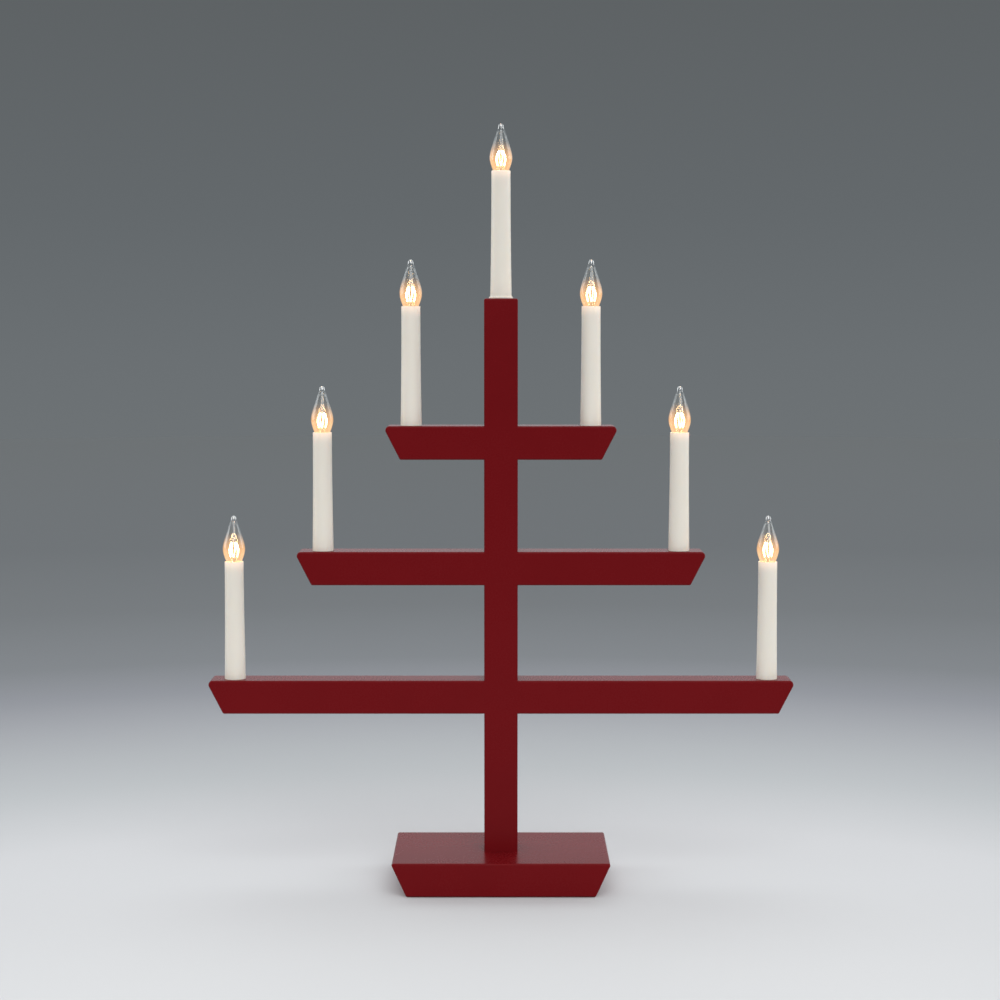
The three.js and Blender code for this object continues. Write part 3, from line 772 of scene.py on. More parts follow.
def rounded(corners, radii, steps=5, closed=True):
    """A line through corners with an arc of its own radius at each."""
    line = []
    last = len(corners) - 1
    for number, (corner, radius) in enumerate(zip(corners, radii)):
        if radius == 0 or not (closed or 0 < number < last):
            line.append(corner.copy())
            continue
        centre, before, after, half = inside_corner(corners, number, radius)
        reach = radius / math.tan(half)
        start = corner + before * reach - centre
        end = corner + after * reach - centre
        sweep = math.pi - 2 * half
        for step in range(steps + 1):
            turned_by = sweep * step / steps
            point = start * math.sin(sweep - turned_by) + end * math.sin(turned_by)
            line.append(centre + point / math.sin(sweep))
    return line


def divided(line, longest):
    """A line with points added where two are further apart than the longest step."""
    points = [line[0]]
    slack = 1e-6
    for start, end in zip(line, line[1:]):
        steps = math.ceil((end - start).length / longest - slack)
        points += [start.lerp(end, step / steps) for step in range(1, steps + 1)]
    return points


def smooth_line(places, steps):
    """A smooth line through places, with as many steps between each two."""
    line = []
    last = len(places) - 1
    for number in range(last):
        a = places[max(number - 1, 0)]
        b = places[number]
        c = places[number + 1]
        d = places[min(number + 2, last)]
        for step in range(steps):
            t = step / steps
            line.append(
                0.5 * (2 * b + (c - a) * t + (2 * a - 5 * b + 4 * c - d) * t**2)
                + 0.5 * (3 * b - a - 3 * c + d) * t**3
            )
    return [*line, places[last]]


def profile(places, unit=MM, steps=3):
    """The closed outline of a turned piece, from the radius, height and rounding of its corners."""
    corners = [Vector((radius, 0, height)) * unit for radius, height, _ in places]
    line = rounded(corners, [rounding * unit for _, _, rounding in places], steps)
    return [*line, line[0]]


@contextmanager
def opened(mesh):
    """A mesh opened for changes, which go back into it at the end."""
    whole = bmesh.new()
    whole.from_mesh(mesh)
    yield whole
    whole.to_mesh(mesh)
    whole.free()


def tidy(mesh):
    """Points the faces outwards, and keeps edges sharp where the surface turns a corner."""
    with opened(mesh) as whole:
        bmesh.ops.remove_doubles(whole, verts=whole.verts, dist=MERGE_DISTANCE / 2)
        bmesh.ops.recalc_face_normals(whole, faces=whole.faces)
    mesh.shade_smooth()
    mesh.set_sharp_from_angle(angle=SHARP)
    return mesh


def turn(line, material, sides, **sizes):
    """A turned piece from the line of its profile."""
    return tidy(recipe_of(turning).make(outlined(line), material, Sides=sides, **sizes))


def lathe(places, material, sides, step=None, **sizes):
    """A turned piece from the corners of its profile in millimetres, in fine steps where asked."""
    line = profile(places)
    if step:
        line = divided(line, step * MM)
    return turn(line, material, sides, **sizes)


def thread(low, high, depth):
    """The sizes of a thread between two heights, given in millimetres."""
    return {"Thread_Low": low * MM, "Thread_High": high * MM, "Thread_Depth": depth * MM}


def wind(path, material, **sizes):
    """Wire along a path of points."""
    return recipe_of(winding).make(outlined(path), material, **sizes)


def loft(rings):
    """A closed mesh through rings of as many points each."""
    mesh = bpy.data.meshes.new("loft")
    count = len(rings[0])
    faces = [tuple(range(count)), tuple(range((len(rings) - 1) * count, len(rings) * count))]
    for ring in range(len(rings) - 1):
        for i in range(count):
            here = ring * count + i
            beside = ring * count + (i + 1) % count
            faces.append((here, beside, beside + count, here + count))
    mesh.from_pydata([point for ring in rings for point in ring], [], faces)
    with opened(mesh) as whole:
        bmesh.ops.recalc_face_normals(whole, faces=whole.faces)
    mesh.shade_smooth()
    return mesh


def block(low, high, edge=0.0):
    """A block between two corners, with small rounded edges where asked."""
    mesh = bpy.data.meshes.new("block")
    middle = (Vector(low) + Vector(high)) / 2
    extent = Vector(high) - Vector(low)
    place = Matrix.Translation(middle) @ Matrix.Diagonal((*extent, 1))
    rounding = {"offset": edge, "segments": 2, "profile": 0.5, "affect": "EDGES"}
    with opened(mesh) as shape:
        bmesh.ops.create_cube(shape, size=1, matrix=place)
        if edge:
            bmesh.ops.bevel(shape, geom=shape.edges[:], **rounding)
    return mesh


def circle(radius, height, sides):
    """Points around Z at a height."""
    angles = [math.tau * side / sides for side in range(sides)]
    return [(radius * math.cos(a), radius * math.sin(a), height) for a in angles]


def pin(radius, low, high, place=(0, 0, 0), sides=48):
    """A round cutter about Z between two heights."""
    return moved(loft([circle(radius, height, sides) for height in (low, high)]), place)


def moved(mesh, place):
    mesh.transform(Matrix.Translation(place))
    return mesh


def laid(mesh, place):
    """A piece made about Z, laid down so that it runs backwards from a place."""
    mesh.transform(Matrix.Translation(place) @ BACKWARDS)
    return mesh


def combined(mesh, operation, others):
    """A mesh that others are cut out of or added to, one after another."""
    subject = shown("subject", mesh)
    helpers = [shown("helper", other) for other in others]
    for helper in helpers:
        modifier = subject.modifiers.new("cut", "BOOLEAN")
        modifier.operation = operation
        modifier.solver = "EXACT"
        modifier.object = helper
    result = baked(subject)
    for helper in helpers:
        bpy.data.objects.remove(helper)
    return result


def painted(mesh, material):
    """A carved mesh with its material, flat where it is flat and smooth on its roundings."""
    mesh.materials.clear()
    mesh.materials.append(finish(material))
    with opened(mesh) as whole:
        bmesh.ops.remove_doubles(whole, verts=whole.verts, dist=MERGE_DISTANCE)
        for face in whole.faces:
            face.material_index = 0
            face.smooth = True
    mesh.set_sharp_from_angle(angle=SHARP)
    subject = shown("subject", mesh)
    modifier = subject.modifiers.new("normals", "WEIGHTED_NORMAL")
    modifier.keep_sharp = True
    return baked(subject)


def carved(mesh, tools, material):
    """A mesh with tools cut out of it, and its material."""
    return painted(combined(mesh, "DIFFERENCE", tools), material)


def joined(parts):
    """One mesh from several, each with its own materials."""
    mesh = bpy.data.meshes.new("joined")
    with opened(mesh) as whole:
        for part in parts:
            start = len(whole.faces)
            slots = []
            for material in part.materials:
                if material and material.name not in mesh.materials:
                    mesh.materials.append(material)
                slots.append(mesh.materials.find(material.name) if material else 0)
            whole.from_mesh(part)
            whole.faces.ensure_lookup_table()
            for face in whole.faces[start:]:
                face.material_index = slots[face.material_index]
    return mesh


def piece(name, mesh, body, nodes):
    """A finished piece that rides on a body and stands for nodes of the frame."""
    made = shown(name, mesh)
    mesh.name = name
    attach(made, body)
    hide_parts(*nodes)


def at_each_candle(prefix, mesh, body, node):
    """A copy of a mesh on each candle's seat. A * stands for the candle's name."""
    for name, seat in CANDLES.items():
        copy = moved(mesh.copy(), seat)
        piece(f"{prefix}_{name}", copy, body.replace("*", name), [f"{node}_{name}"])


def undercut(width, height, slant, tip):
    """Front corners of a bar under Z = 0 with undercut ends. The width is over its rounded tips."""
    corner = settings().wood.corner
    half_tip = (math.pi / 2 - slant) / 2
    half_top = width / 2 + tip * (1 / math.tan(half_tip) - 1)
    half_bottom = half_top - height * math.tan(slant)
    bottom = [(-half_bottom, -height, corner), (half_bottom, -height, corner)]
    return bottom + [(half_top, 0, tip), (-half_top, 0, tip)]


def shrunk(corners, inset):
    """Corners of an outline whose sides are moved inwards."""
    return [inside_corner(corners, number, inset)[0] for number in range(len(corners))]


def bar(corners, half_depth, steps=6):
    """A bar with rounded edges, from the x, z and radius of each corner of its front."""
    wood = settings().wood
    outline = [Vector((x, 0, z)) for x, z, _ in corners]
    front = []
    for step in range(steps + 1):
        turned_by = math.pi / 2 * step / steps
        inset = wood.edge * (1 - math.sin(turned_by))
        y = half_depth - wood.edge * (1 - math.cos(turned_by))
        radii = [radius - inset for _, _, radius in corners]
        front.append((rounded(shrunk(outline, inset), radii, steps), y))
    rings = [[(p.x, -y, p.z) for p in ring] for ring, y in front]
    rings += [[(p.x, y, p.z) for p in ring] for ring, y in reversed(front)]
    return loft(rings)


def groove(low, high, along):
    """Cutters of a lead groove and its strip's rebate, between two places along X or Z."""
    cutters = []
    rebate = (STRIP_HALF + STRIP_GAP, HALF - STRIP_THICKNESS)
    for half, floor in ((GROOVE_HALF, GROOVE_FLOOR), rebate):
        start = Vector((-half, floor, -half))
        end = Vector((half, HALF + OVERCUT, half))
        start[along] = low
        end[along] = high
        cutters.append(block(start, end))
    return cutters


class CANDLE_TREE_OT_foot(Operator):
    """Makes the broad wooden foot, with the recesses in its underside and its back"""

    bl_idname = "candle_tree.foot"
    bl_label = "Foot"

    def execute(self, context):
        wood = settings().wood
        height = FOOT_HIGH.z - FOOT_LOW.z
        corners = undercut(2 * FOOT_HIGH.x, height, wood.foot_slant, wood.corner)
        blank = moved(bar(corners, FOOT_HIGH.y), (0, 0, FOOT_HIGH.z))
        outlet = [(0, 43, 0), (5.9, 43, 0), (5.9, 60, 0), (8.3, 60, 0), (8.3, 63, 0), (0, 63, 0)]
        lead_place = (0, GROOVE_MIDDLE, 0)
        tools = [
            block(POCKET_LOW, POCKET_HIGH),
            pin(LEAD_HOLE_RADIUS, POCKET_HIGH.z - OVERCUT, FOOT_HIGH.z + OVERCUT, lead_place),
            laid(lathe(outlet, satin_paint, sides=48), OUTLET),
        ]
        sink = [(0, 0, 0), (4.2, 0, 0), (4.2, 7.6, 0), (2.2, 9.6, 0), (2.2, 33.6, 0), (0, 33.6, 0)]
        for place in SCREW_PLACES.values():
            tools.append(moved(lathe(sink, satin_paint, sides=32), place))
        mesh = carved(blank, tools, satin_paint)
        piece("painted_foot", mesh, "tree", ["foot_block"])
        return {"FINISHED"}


class CANDLE_TREE_OT_felt(Operator):
    """Lays the felt sheet under the foot"""

    bl_idname = "candle_tree.felt"
    bl_label = "Felt"

    def execute(self, context):
        corner = settings().wood.felt_corner
        soft = 0.2 * MM
        rings = []
        for inset, z in ((soft, 0), (soft / 4, soft / 4), (0, soft), (0, FELT_HIGH.z)):
            x = FELT_HIGH.x - inset
            y = FELT_HIGH.y - inset
            corners = [Vector(place) for place in ((x, y, z), (-x, y, z), (-x, -y, z), (x, -y, z))]
            rings.append(rounded(corners, [corner - inset] * 4))
        mesh = painted(loft(rings), dark_felt)
        piece("felt_sheet", mesh, "tree", ["foot_felt"])
        return {"FINISHED"}


class CANDLE_TREE_OT_post(Operator):
    """Makes the post, halved for the arms and grooved for the leads"""

    bl_idname = "candle_tree.post"
    bl_label = "Post"

    def execute(self, context):
        low = POST_LOW.z
        high = POST_HIGH.z
        spare = 20 * MM
        below = low - spare
        corner = settings().wood.corner
        ends = [(-HALF, below), (HALF, below), (HALF, high), (-HALF, high)]
        blank = bar([(x, z, corner) for x, z in ends], HALF)
        out = HALF + OVERCUT
        tools = [
            block((-out, -out, below - OVERCUT), (out, out, low)),
            *groove(below, high - GROOVE_STOP, 2),
            pin(HOLE_RADIUS, high - HOLE_DEPTH, high + OVERCUT),
        ]
        for arm_low, arm_high in ARMS.values():
            tools.append(block((-out, -out, arm_low.z), (out, 0, arm_high.z)))
            for cutter in groove(-out, out, 0):
                tools.append(moved(cutter, (0, 0, arm_high.z - ARM_GROOVE_DROP)))
        for place in SCREW_PLACES.values():
            tools.append(pin(PILOT_RADIUS, low - OVERCUT, low + PILOT_DEPTH, place, sides=24))
        mesh = carved(blank, tools, satin_paint)
        piece("painted_post", mesh, "tree", ["post"])
        return {"FINISHED"}


class CANDLE_TREE_OT_arms(Operator):
    """Makes the three arms with undercut ends, candle recesses and lead grooves"""

    bl_idname = "candle_tree.arms"
    bl_label = "Arms"

    def execute(self, context):
        wood = settings().wood
        for level, (low, high) in ARMS.items():
            section = high.z - low.z
            candle = CANDLES[f"{level}_right"].x
            end = candle + STRIP_OVERRUN + STRIP_GAP
            square = block((-HALF, -HALF, -section), (HALF, 0, 0))
            corners = undercut(2 * high.x, section, wood.arm_slant, wood.tip)
            whole = combined(bar(corners, HALF), "UNION", [square])
            tools = [block((-HALF, 0, -section - OVERCUT), (HALF, HALF + OVERCUT, OVERCUT))]
            tools += [moved(cutter, (0, 0, -ARM_GROOVE_DROP)) for cutter in groove(-end, end, 0)]
            for x in (-candle, candle):
                tools.append(pin(SEAT_RADIUS, -SEAT_DEPTH, OVERCUT, (x, 0, 0), sides=64))
                tools.append(pin(HOLE_RADIUS, -SEAT_DEPTH - HOLE_DEPTH, 0, (x, 0, 0)))
            mesh = moved(carved(whole, tools, satin_paint), (0, 0, high.z))
            piece(f"painted_arm_{level}", mesh, "tree", [f"arm_{level}"])
        return {"FINISHED"}


class CANDLE_TREE_OT_strips(Operator):
    """Closes the grooves in the back with thin painted strips"""

    bl_idname = "candle_tree.strips"
    bl_label = "Strips"

    def execute(self, context):
        edge = settings().wood.strip_edge
        for node in sorted(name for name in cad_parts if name.startswith("strip_")):
            mesh = painted(block(*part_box(node), edge), satin_paint)
            piece(f"painted_{node}", mesh, "tree", [node])
        return {"FINISHED"}


class CANDLE_TREE_OT_screws(Operator):
    """Makes the two countersunk wood screws that hold the post"""

    bl_idname = "candle_tree.screws"
    bl_label = "Wood screws"

    def execute(self, context):
        places = [
            (0, 6.7, 0),
            (3.7, 6.7, 0.2),
            (3.9, 7.6, 0.2),
            (1.9, 9.6, 0.4),
            (1.9, 62.6, 0),
            (0, 66.6, 0),
        ]
        sizes = {"step": 0.3, "Thread_Pitch": 2.4 * MM, **thread(36, 68, 0.5)}
        screw = lathe(places, screw_steel, sides=24, **sizes)
        slot = block(millimetres(-5, -0.6, 6), millimetres(5, 0.6, 7.6))
        slotted = carved(screw, [slot], screw_steel)
        for side, place in SCREW_PLACES.items():
            mesh = moved(slotted.copy(), place)
            piece(f"wood_screw_{side}", mesh, "tree", [f"post_screw_{side}"])
        return {"FINISHED"}


class CANDLE_TREE_OT_sleeves(Operator):
    """Makes the ivory tube of each candle"""

    bl_idname = "candle_tree.sleeves"
    bl_label = "Sleeves"

    def radius(self, height):
        candle = settings().candle
        rest = 1 - height / MOUTH
        return candle.mouth + (candle.foot - candle.mouth) * rest**2

    def sleeve(self, stands_free):
        candle = settings().candle
        steps = 24
        heights = [MOUTH * step / steps for step in range(1, steps)]
        outside = [(self.radius(z), z, 0) for z in heights]
        inside = [(self.radius(z) - candle.wall, z, 0) for z in reversed(heights)]
        rim = candle.rim_height
        foot = [(candle.foot, 0, 0.3 * MM)]
        if stands_free:
            foot = [
                (candle.rim, 0, 0.25 * MM),
                (candle.rim, rim, 0.6 * MM),
                (self.radius(rim), rim, 0.3 * MM),
            ]
        lip = [(candle.mouth, MOUTH, 0.3 * MM), (candle.mouth - candle.wall, MOUTH, 0.25 * MM)]
        inner_foot = [(candle.foot - candle.wall, 0, 0.1 * MM)]
        places = [*foot, *outside, *lip, *inside, *inner_foot]
        return turn(profile(places, unit=1, steps=4), moulded_ivory, sides=64)

    def execute(self, context):
        for name, seat in CANDLES.items():
            mesh = moved(self.sleeve(stands_free=name == "top"), seat)
            piece(f"sleeve_{name}", mesh, "tree", [SLEEVE + name])
        return {"FINISHED"}


class CANDLE_TREE_OT_holders(Operator):
    """Makes the plastic lamp holders with their ribs"""

    bl_idname = "candle_tree.holders"
    bl_label = "Lamp holders"

    def execute(self, context):
        places = [
            (5.1, -9, 0.5),
            (5.1, 0, 0),
            (9, 0, 0.3),
            (9, 2.5, 0.5),
            (5, 2.5, 0.6),
            (5, 92.4, 0.6),
            (7.05, 94.4, 0.8),
            (7.05, 109.5, 0.4),
            (5.75, 109.5, 0.2),
            (5.75, 95.655, 0.3),
            (3, 95.655, 0.3),
            (3, -9, 0.3),
        ]
        body = lathe(places, moulded_white, sides=40)
        count = settings().candle.ribs
        plug_rib = block(millimetres(-0.4, -0.4, -8), millimetres(0.5, 0.4, 0.1), 0.15 * MM)
        stem_rib = block(millimetres(-0.4, -0.5, 2.3), millimetres(0.6, 0.5, 92), 0.2 * MM)
        ring = recipe_of(ringing)
        plug_ribs = ring.make(plug_rib, moulded_white, Count=2 * count, Radius=5.1 * MM)
        stem_ribs = ring.make(stem_rib, moulded_white, Count=count, Radius=5 * MM)
        holder = joined([body, plug_ribs, stem_ribs])
        at_each_candle("holder", holder, "tree", "lamp_holder")
        return {"FINISHED"}


class CANDLE_TREE_OT_sockets(Operator):
    """Rolls the brass shells that the bulbs screw into"""

    bl_idname = "candle_tree.sockets"
    bl_label = "Socket shells"

    def execute(self, context):
        low = 98
        high = 109
        places = [(5.25, low, 0), (5.25, high, 0.05), (5.45, high, 0.05), (5.45, low, 0)]
        shell = lathe(places, rolled_brass, sides=32, step=0.25, **thread(low, high, 0.2))
        at_each_candle("socket", shell, "tree", "socket_shell")
        return {"FINISHED"}


class CANDLE_TREE_OT_caps(Operator):
    """Makes the screw caps of the bulbs with thread, insulator and contact"""

    bl_idname = "candle_tree.caps"
    bl_label = "Screw caps"

    def execute(self, context):
        shell = [
            (4.15, 99.1, 0.3),
            (4.4, 99.05, 0.2),
            (4.75, 100, 0),
            (4.75, 108.6, 0),
            (4.4, 109, 0),
            (4.6, 110.5, 0.1),
            (4.35, 110.5, 0.1),
            (4.2, 109, 0),
            (4.5, 108.6, 0),
            (4.5, 100, 0),
        ]
        insulator = [(0, 97, 0), (1.7, 97, 0.2), (4.1, 99.1, 0.3), (3.9, 99.6, 0.2), (0, 99.6, 0)]
        contact = [(0, 96.155, 0), (1.5, 96.3, 0.6), (1.6, 97.3, 0), (0, 97.3, 0)]
        cement = [(3.65, 109.2, 0), (4.15, 109.2, 0), (4.3, 110.3, 0.1), (3.65, 110.1, 0.1)]
        cap = joined(
            [
                lathe(shell, rolled_brass, sides=32, step=0.25, **thread(99.2, 109.2, 0.35)),
                lathe(insulator, black_glass, sides=32, step=0.5),
                lathe(contact, solder, sides=24, step=0.3),
                lathe(cement, cap_cement, sides=32, step=0.3),
            ]
        )
        at_each_candle("screw_cap", cap, "*_cap", "bulb_cap")
        return {"FINISHED"}


class CANDLE_TREE_OT_glasses(Operator):
    """Blows the flame-shaped glasses"""

    bl_idname = "candle_tree.glasses"
    bl_label = "Flame glasses"

    def places(self, *profile):
        """Points of the profile, from their radius and height over the mouth in millimetres."""
        return [Vector((radius * MM, 0, MOUTH + height * MM)) for radius, height in profile]

    def execute(self, context):
        wall = settings().bulb.wall
        neck_radius = 3.6
        shoulder = self.places((neck_radius, -8.5), (4.3, -6.6))
        flame = self.places((7.5, 0), (10.6, 13), (6.1, 30), (2.9, 39))
        outer = smooth_line(shoulder + flame, 8)
        bead = smooth_line([outer[-1], *self.places((2.6, 41.4), (1.9, 43.2), (0, 44))], 5)
        # The hollow ends in a flat crown, a few points below the solid bead
        crown = self.places((0, 38))
        inner = [point - Vector((wall, 0, 0)) for point in outer[:-4]]
        neck = Vector((neck_radius * MM, 0, NECK_END))
        bore = Vector((neck_radius * MM - wall, 0, NECK_END))
        line = [neck, *outer, *bead[1:], *crown, *reversed(inner), bore, neck]
        glass = turn(divided(line, 2.5 * MM), bulb_glass, sides=48)
        at_each_candle("flame_glass", glass, "*_bulb", "bulb_glass")
        return {"FINISHED"}


class CANDLE_TREE_OT_filaments(Operator):
    """Coils the filaments and mounts them on their stems"""

    bl_idname = "candle_tree.filaments"
    bl_label = "Filaments"

    arc = math.radians(280)

    def bend(self, number, radius, height):
        """A point on the cage that the filament zigzags around."""
        bulb = settings().bulb
        around = (number / bulb.limbs - 0.5) * self.arc - math.pi / 2
        return Vector((radius * math.cos(around), radius * math.sin(around), MOUTH + height))

    def execute(self, context):
        bulb = settings().bulb
        ends = range(bulb.limbs + 1)
        radii = [bulb.crown if number % 2 else bulb.cage for number in ends]
        heights = [bulb.top if number % 2 else bulb.foot for number in ends]
        bends = [self.bend(number, radii[number], heights[number]) for number in ends]
        path = [bends[0]]
        for number in ends[1:]:
            path.append(self.bend(number - 0.5, bulb.belly, (bulb.foot + bulb.top) / 2))
            path.append(bends[number])
        coil = {"Winding": bulb.coil, "Pitch": bulb.pitch, "Wire": bulb.wire}
        parts = [wind(smooth_line(path, 6), lit_filament, Steps=7, Sides=4, **coil)]
        wire = {"Wire": 0.2 * MM, "Pitch": 3 * MM, "Steps": 3, "Sides": 6}
        inside_stem = 0.65 * MM
        for number in (0, bulb.limbs):
            inside = self.bend(number, inside_stem, -9 * MM)
            leaves = self.bend(number, inside_stem, 0)
            spread = self.bend(number, bulb.cage * 0.8, bulb.foot * 0.7)
            points = smooth_line([inside, leaves, spread, bends[number]], 8)
            parts.append(wind(points, nickel_wire, **wire))
        hook = {**wire, "Wire": 0.11 * MM}
        for number in ends[1:-1]:
            root = self.bend(number, 0.4 * MM, -1.5 * MM)
            rise = self.bend(number, 0.9 * MM, heights[number] * 0.55)
            eye = self.bend(number, radii[number] - 0.3 * MM, heights[number])
            points = smooth_line([root, rise, eye], 8)
            parts.append(wind(points, nickel_wire, **hook))
        stem = [
            (0, 107.5, 0),
            (2.6, 107.5, 0.3),
            (2.4, 109.2, 0.4),
            (1.3, 111.5, 0.5),
            (1.25, 118.4, 0.5),
            (1.3, 119.3, 0.4),
            (0.9, 120, 0.3),
            (0, 120, 0),
        ]
        parts.append(lathe(stem, stem_glass, sides=24, step=1))
        at_each_candle("filament", joined(parts), "*_bulb", "filament_mount")
        return {"FINISHED"}


class CANDLE_TREE_OT_leads(Operator):
    """Twists the leads from the terminal block up to the holders"""

    bl_idname = "candle_tree.leads"
    bl_label = "Leads"

    def execute(self, context):
        lead = settings().lead
        y = GROOVE_MIDDLE
        foot = 22.6 * MM
        top = POST_HIGH.z - LEAD_DROP - 1.5 * MM
        trunk = {"Strands": 4, "Winding": lead.trunk_wind, "Wire": lead.trunk, "Sides": 6}
        post_path = [Vector((0, y, foot)), Vector((0, y, top))]
        parts = [wind(post_path, lead_insulation, Pitch=26 * MM, Steps=12, **trunk)]
        pair = {"Strands": 2, "Winding": lead.pair, "Wire": lead.pair, "Sides": 6}
        for seat in CANDLES.values():
            z = seat.z - LEAD_DROP
            corners = [Vector((seat.x, y, z)), Vector((seat.x, 0, z))]
            if seat.x:
                corners.insert(0, Vector((0, y, z)))
            corners.append(Vector((seat.x, 0, seat.z + SOCKET_FLOOR)))
            path = rounded(corners, [lead.bend] * len(corners), closed=False)
            parts.append(wind(path, lead_insulation, Pitch=13 * MM, Steps=9, **pair))
        single = {"Strands": 1, "Winding": 0.0, "Wire": 1.1 * MM, "Sides": 8}
        bore_z = TERMINAL_LOW.z + TERMINAL_BORE_RISE
        clamped = TERMINAL_LOW.y + 6 * MM
        leaving = TERMINAL_LOW.y - 2 * MM
        apart = 0.6 * MM
        for side in (-1, 1):
            x = side * TERMINAL_PITCH / 2
            corners = [
                Vector((x, clamped, bore_z)),
                Vector((x, leaving, bore_z)),
                Vector((side * apart, y, foot + 0.2 * MM)),
            ]
            path = rounded(corners, [1.5 * MM] * 3, closed=False)
            parts.append(wind(path, lead_insulation, Pitch=6 * MM, Steps=6, **single))
        piece("leads", joined(parts), "tree", ["wiring"])
        return {"FINISHED"}


class CANDLE_TREE_OT_terminal(Operator):
    """Makes the terminal block in the foot's hollow"""

    bl_idname = "candle_tree.terminal"
    bl_label = "Terminal block"

    def execute(self, context):
        low = TERMINAL_LOW
        high = TERMINAL_HIGH
        out = OVERCUT
        plate_low = high.z - 3 * MM
        tower_half = 3.1 * MM
        bore_radius = 1.8 * MM
        screw_inset = 3 * MM
        screw_radius = 1.5 * MM
        screw_depth = 2.4 * MM
        middle_y = (low.y + high.y) / 2
        bore_z = low.z + TERMINAL_BORE_RISE
        gap = TERMINAL_PITCH / 2 - tower_half
        outside = TERMINAL_PITCH / 2 + tower_half
        tools = []
        for left, right in ((-gap, gap), (low.x - out, -outside), (outside, high.x + out)):
            start = (left, low.y - out, low.z - out)
            tools.append(block(start, (right, high.y + out, plate_low)))
        inserts = []
        tube = [(1.2, 0.3, 0), (1.75, 0.3, 0.1), (1.75, 11.7, 0.1), (1.2, 11.7, 0)]
        head = [(0, 0.6, 0), (1.3, 0.6, 0.2), (1.3, 2.4, 0), (0, 2.4, 0)]
        slot_high = millimetres(2, 0.25, 1.1)
        slot_low = millimetres(-2, -0.25, 0)
        for x in (-TERMINAL_PITCH / 2, TERMINAL_PITCH / 2):
            bore = pin(bore_radius, -9 * MM, 9 * MM, sides=32)
            tools.append(laid(bore, (x, middle_y, bore_z)))
            inserts.append(laid(lathe(tube, rolled_brass, sides=24), (x, low.y, bore_z)))
            for y in (low.y + screw_inset, high.y - screw_inset):
                place = Vector((x, y, low.z))
                ends = (low.z - out, low.z + screw_depth)
                tools.append(pin(screw_radius, *ends, (x, y, 0), sides=24))
                screw = moved(lathe(head, screw_steel, sides=20), place)
                slot = block(place + slot_low, place + slot_high)
                inserts.append(carved(screw, [slot], screw_steel))
        body = carved(block(low, high, 0.5 * MM), tools, moulded_white)
        piece("terminal", joined([body, *inserts]), "tree", ["terminal_block"])
        return {"FINISHED"}


class CANDLE_TREE_OT_bush(Operator):
    """Moulds the rubber bush in the cord's outlet"""

    bl_idname = "candle_tree.bush"
    bl_label = "Cord bush"

    def execute(self, context):
        places = [
            (5.2, 44, 0.3),
            (5.6, 45.5, 0.2),
            (5.6, 60.3, 0.2),
            (8, 60.3, 0.4),
            (8, 62, 0.7),
            (4.6, 62, 0.3),
            (4.2, 61.3, 0.2),
            (3.5, 60.5, 0.4),
            (3.5, 44, 0.3),
        ]
        bush = lathe(places, bush_rubber, sides=40)
        grip = block(millimetres(-0.3, -0.4, 46), millimetres(0.15, 0.4, 59), 0.1 * MM)
        grips = recipe_of(ringing).make(grip, bush_rubber, Count=12, Radius=5.6 * MM)
        mesh = laid(joined([bush, grips]), OUTLET)
        piece("bush", mesh, "tree", ["cord_bush"])
        return {"FINISHED"}


def floor_paint(name):
    """A floor painted with a pool of light: palest in front of the tree, darker towards the back.
    """
    look = Finish(name)
    here = look.get("ShaderNodeTexCoord", "Object")
    # Painted light: the floor's colour falls off with distance from this point, standing in for the
    # fall-off of the studio light
    painted_light_pool_centre = (0, -0.6, 0)
    given = {0: here, 1: painted_light_pool_centre}
    away = look.get("ShaderNodeVectorMath", "Value", given, operation="DISTANCE")
    reach = 8.0
    tones = [
        (0.39, settings().stage.floor),
        (0.84, srgb(194, 196, 199)),
        (1.11, srgb(173, 177, 180)),
        (1.48, srgb(150, 153, 158)),
        (1.7, srgb(133, 136, 142)),
        (1.97, srgb(118, 122, 126)),
        (2.6, srgb(107, 111, 114)),
        (3.7, srgb(100, 104, 107)),
        (8, srgb(98, 102, 104)),
    ]
    stops = [(far / reach, tone) for far, tone in tones]
    tone = look.get("ShaderNodeValToRGB", 0, {0: away / reach}, stops=stops)
    cloth = look.noise(look.place(), 300 * MM, detail=3)
    return look.cover(Base_Color=tone, Roughness=0.7 + 0.1 * cloth, Specular_IOR_Level=0)


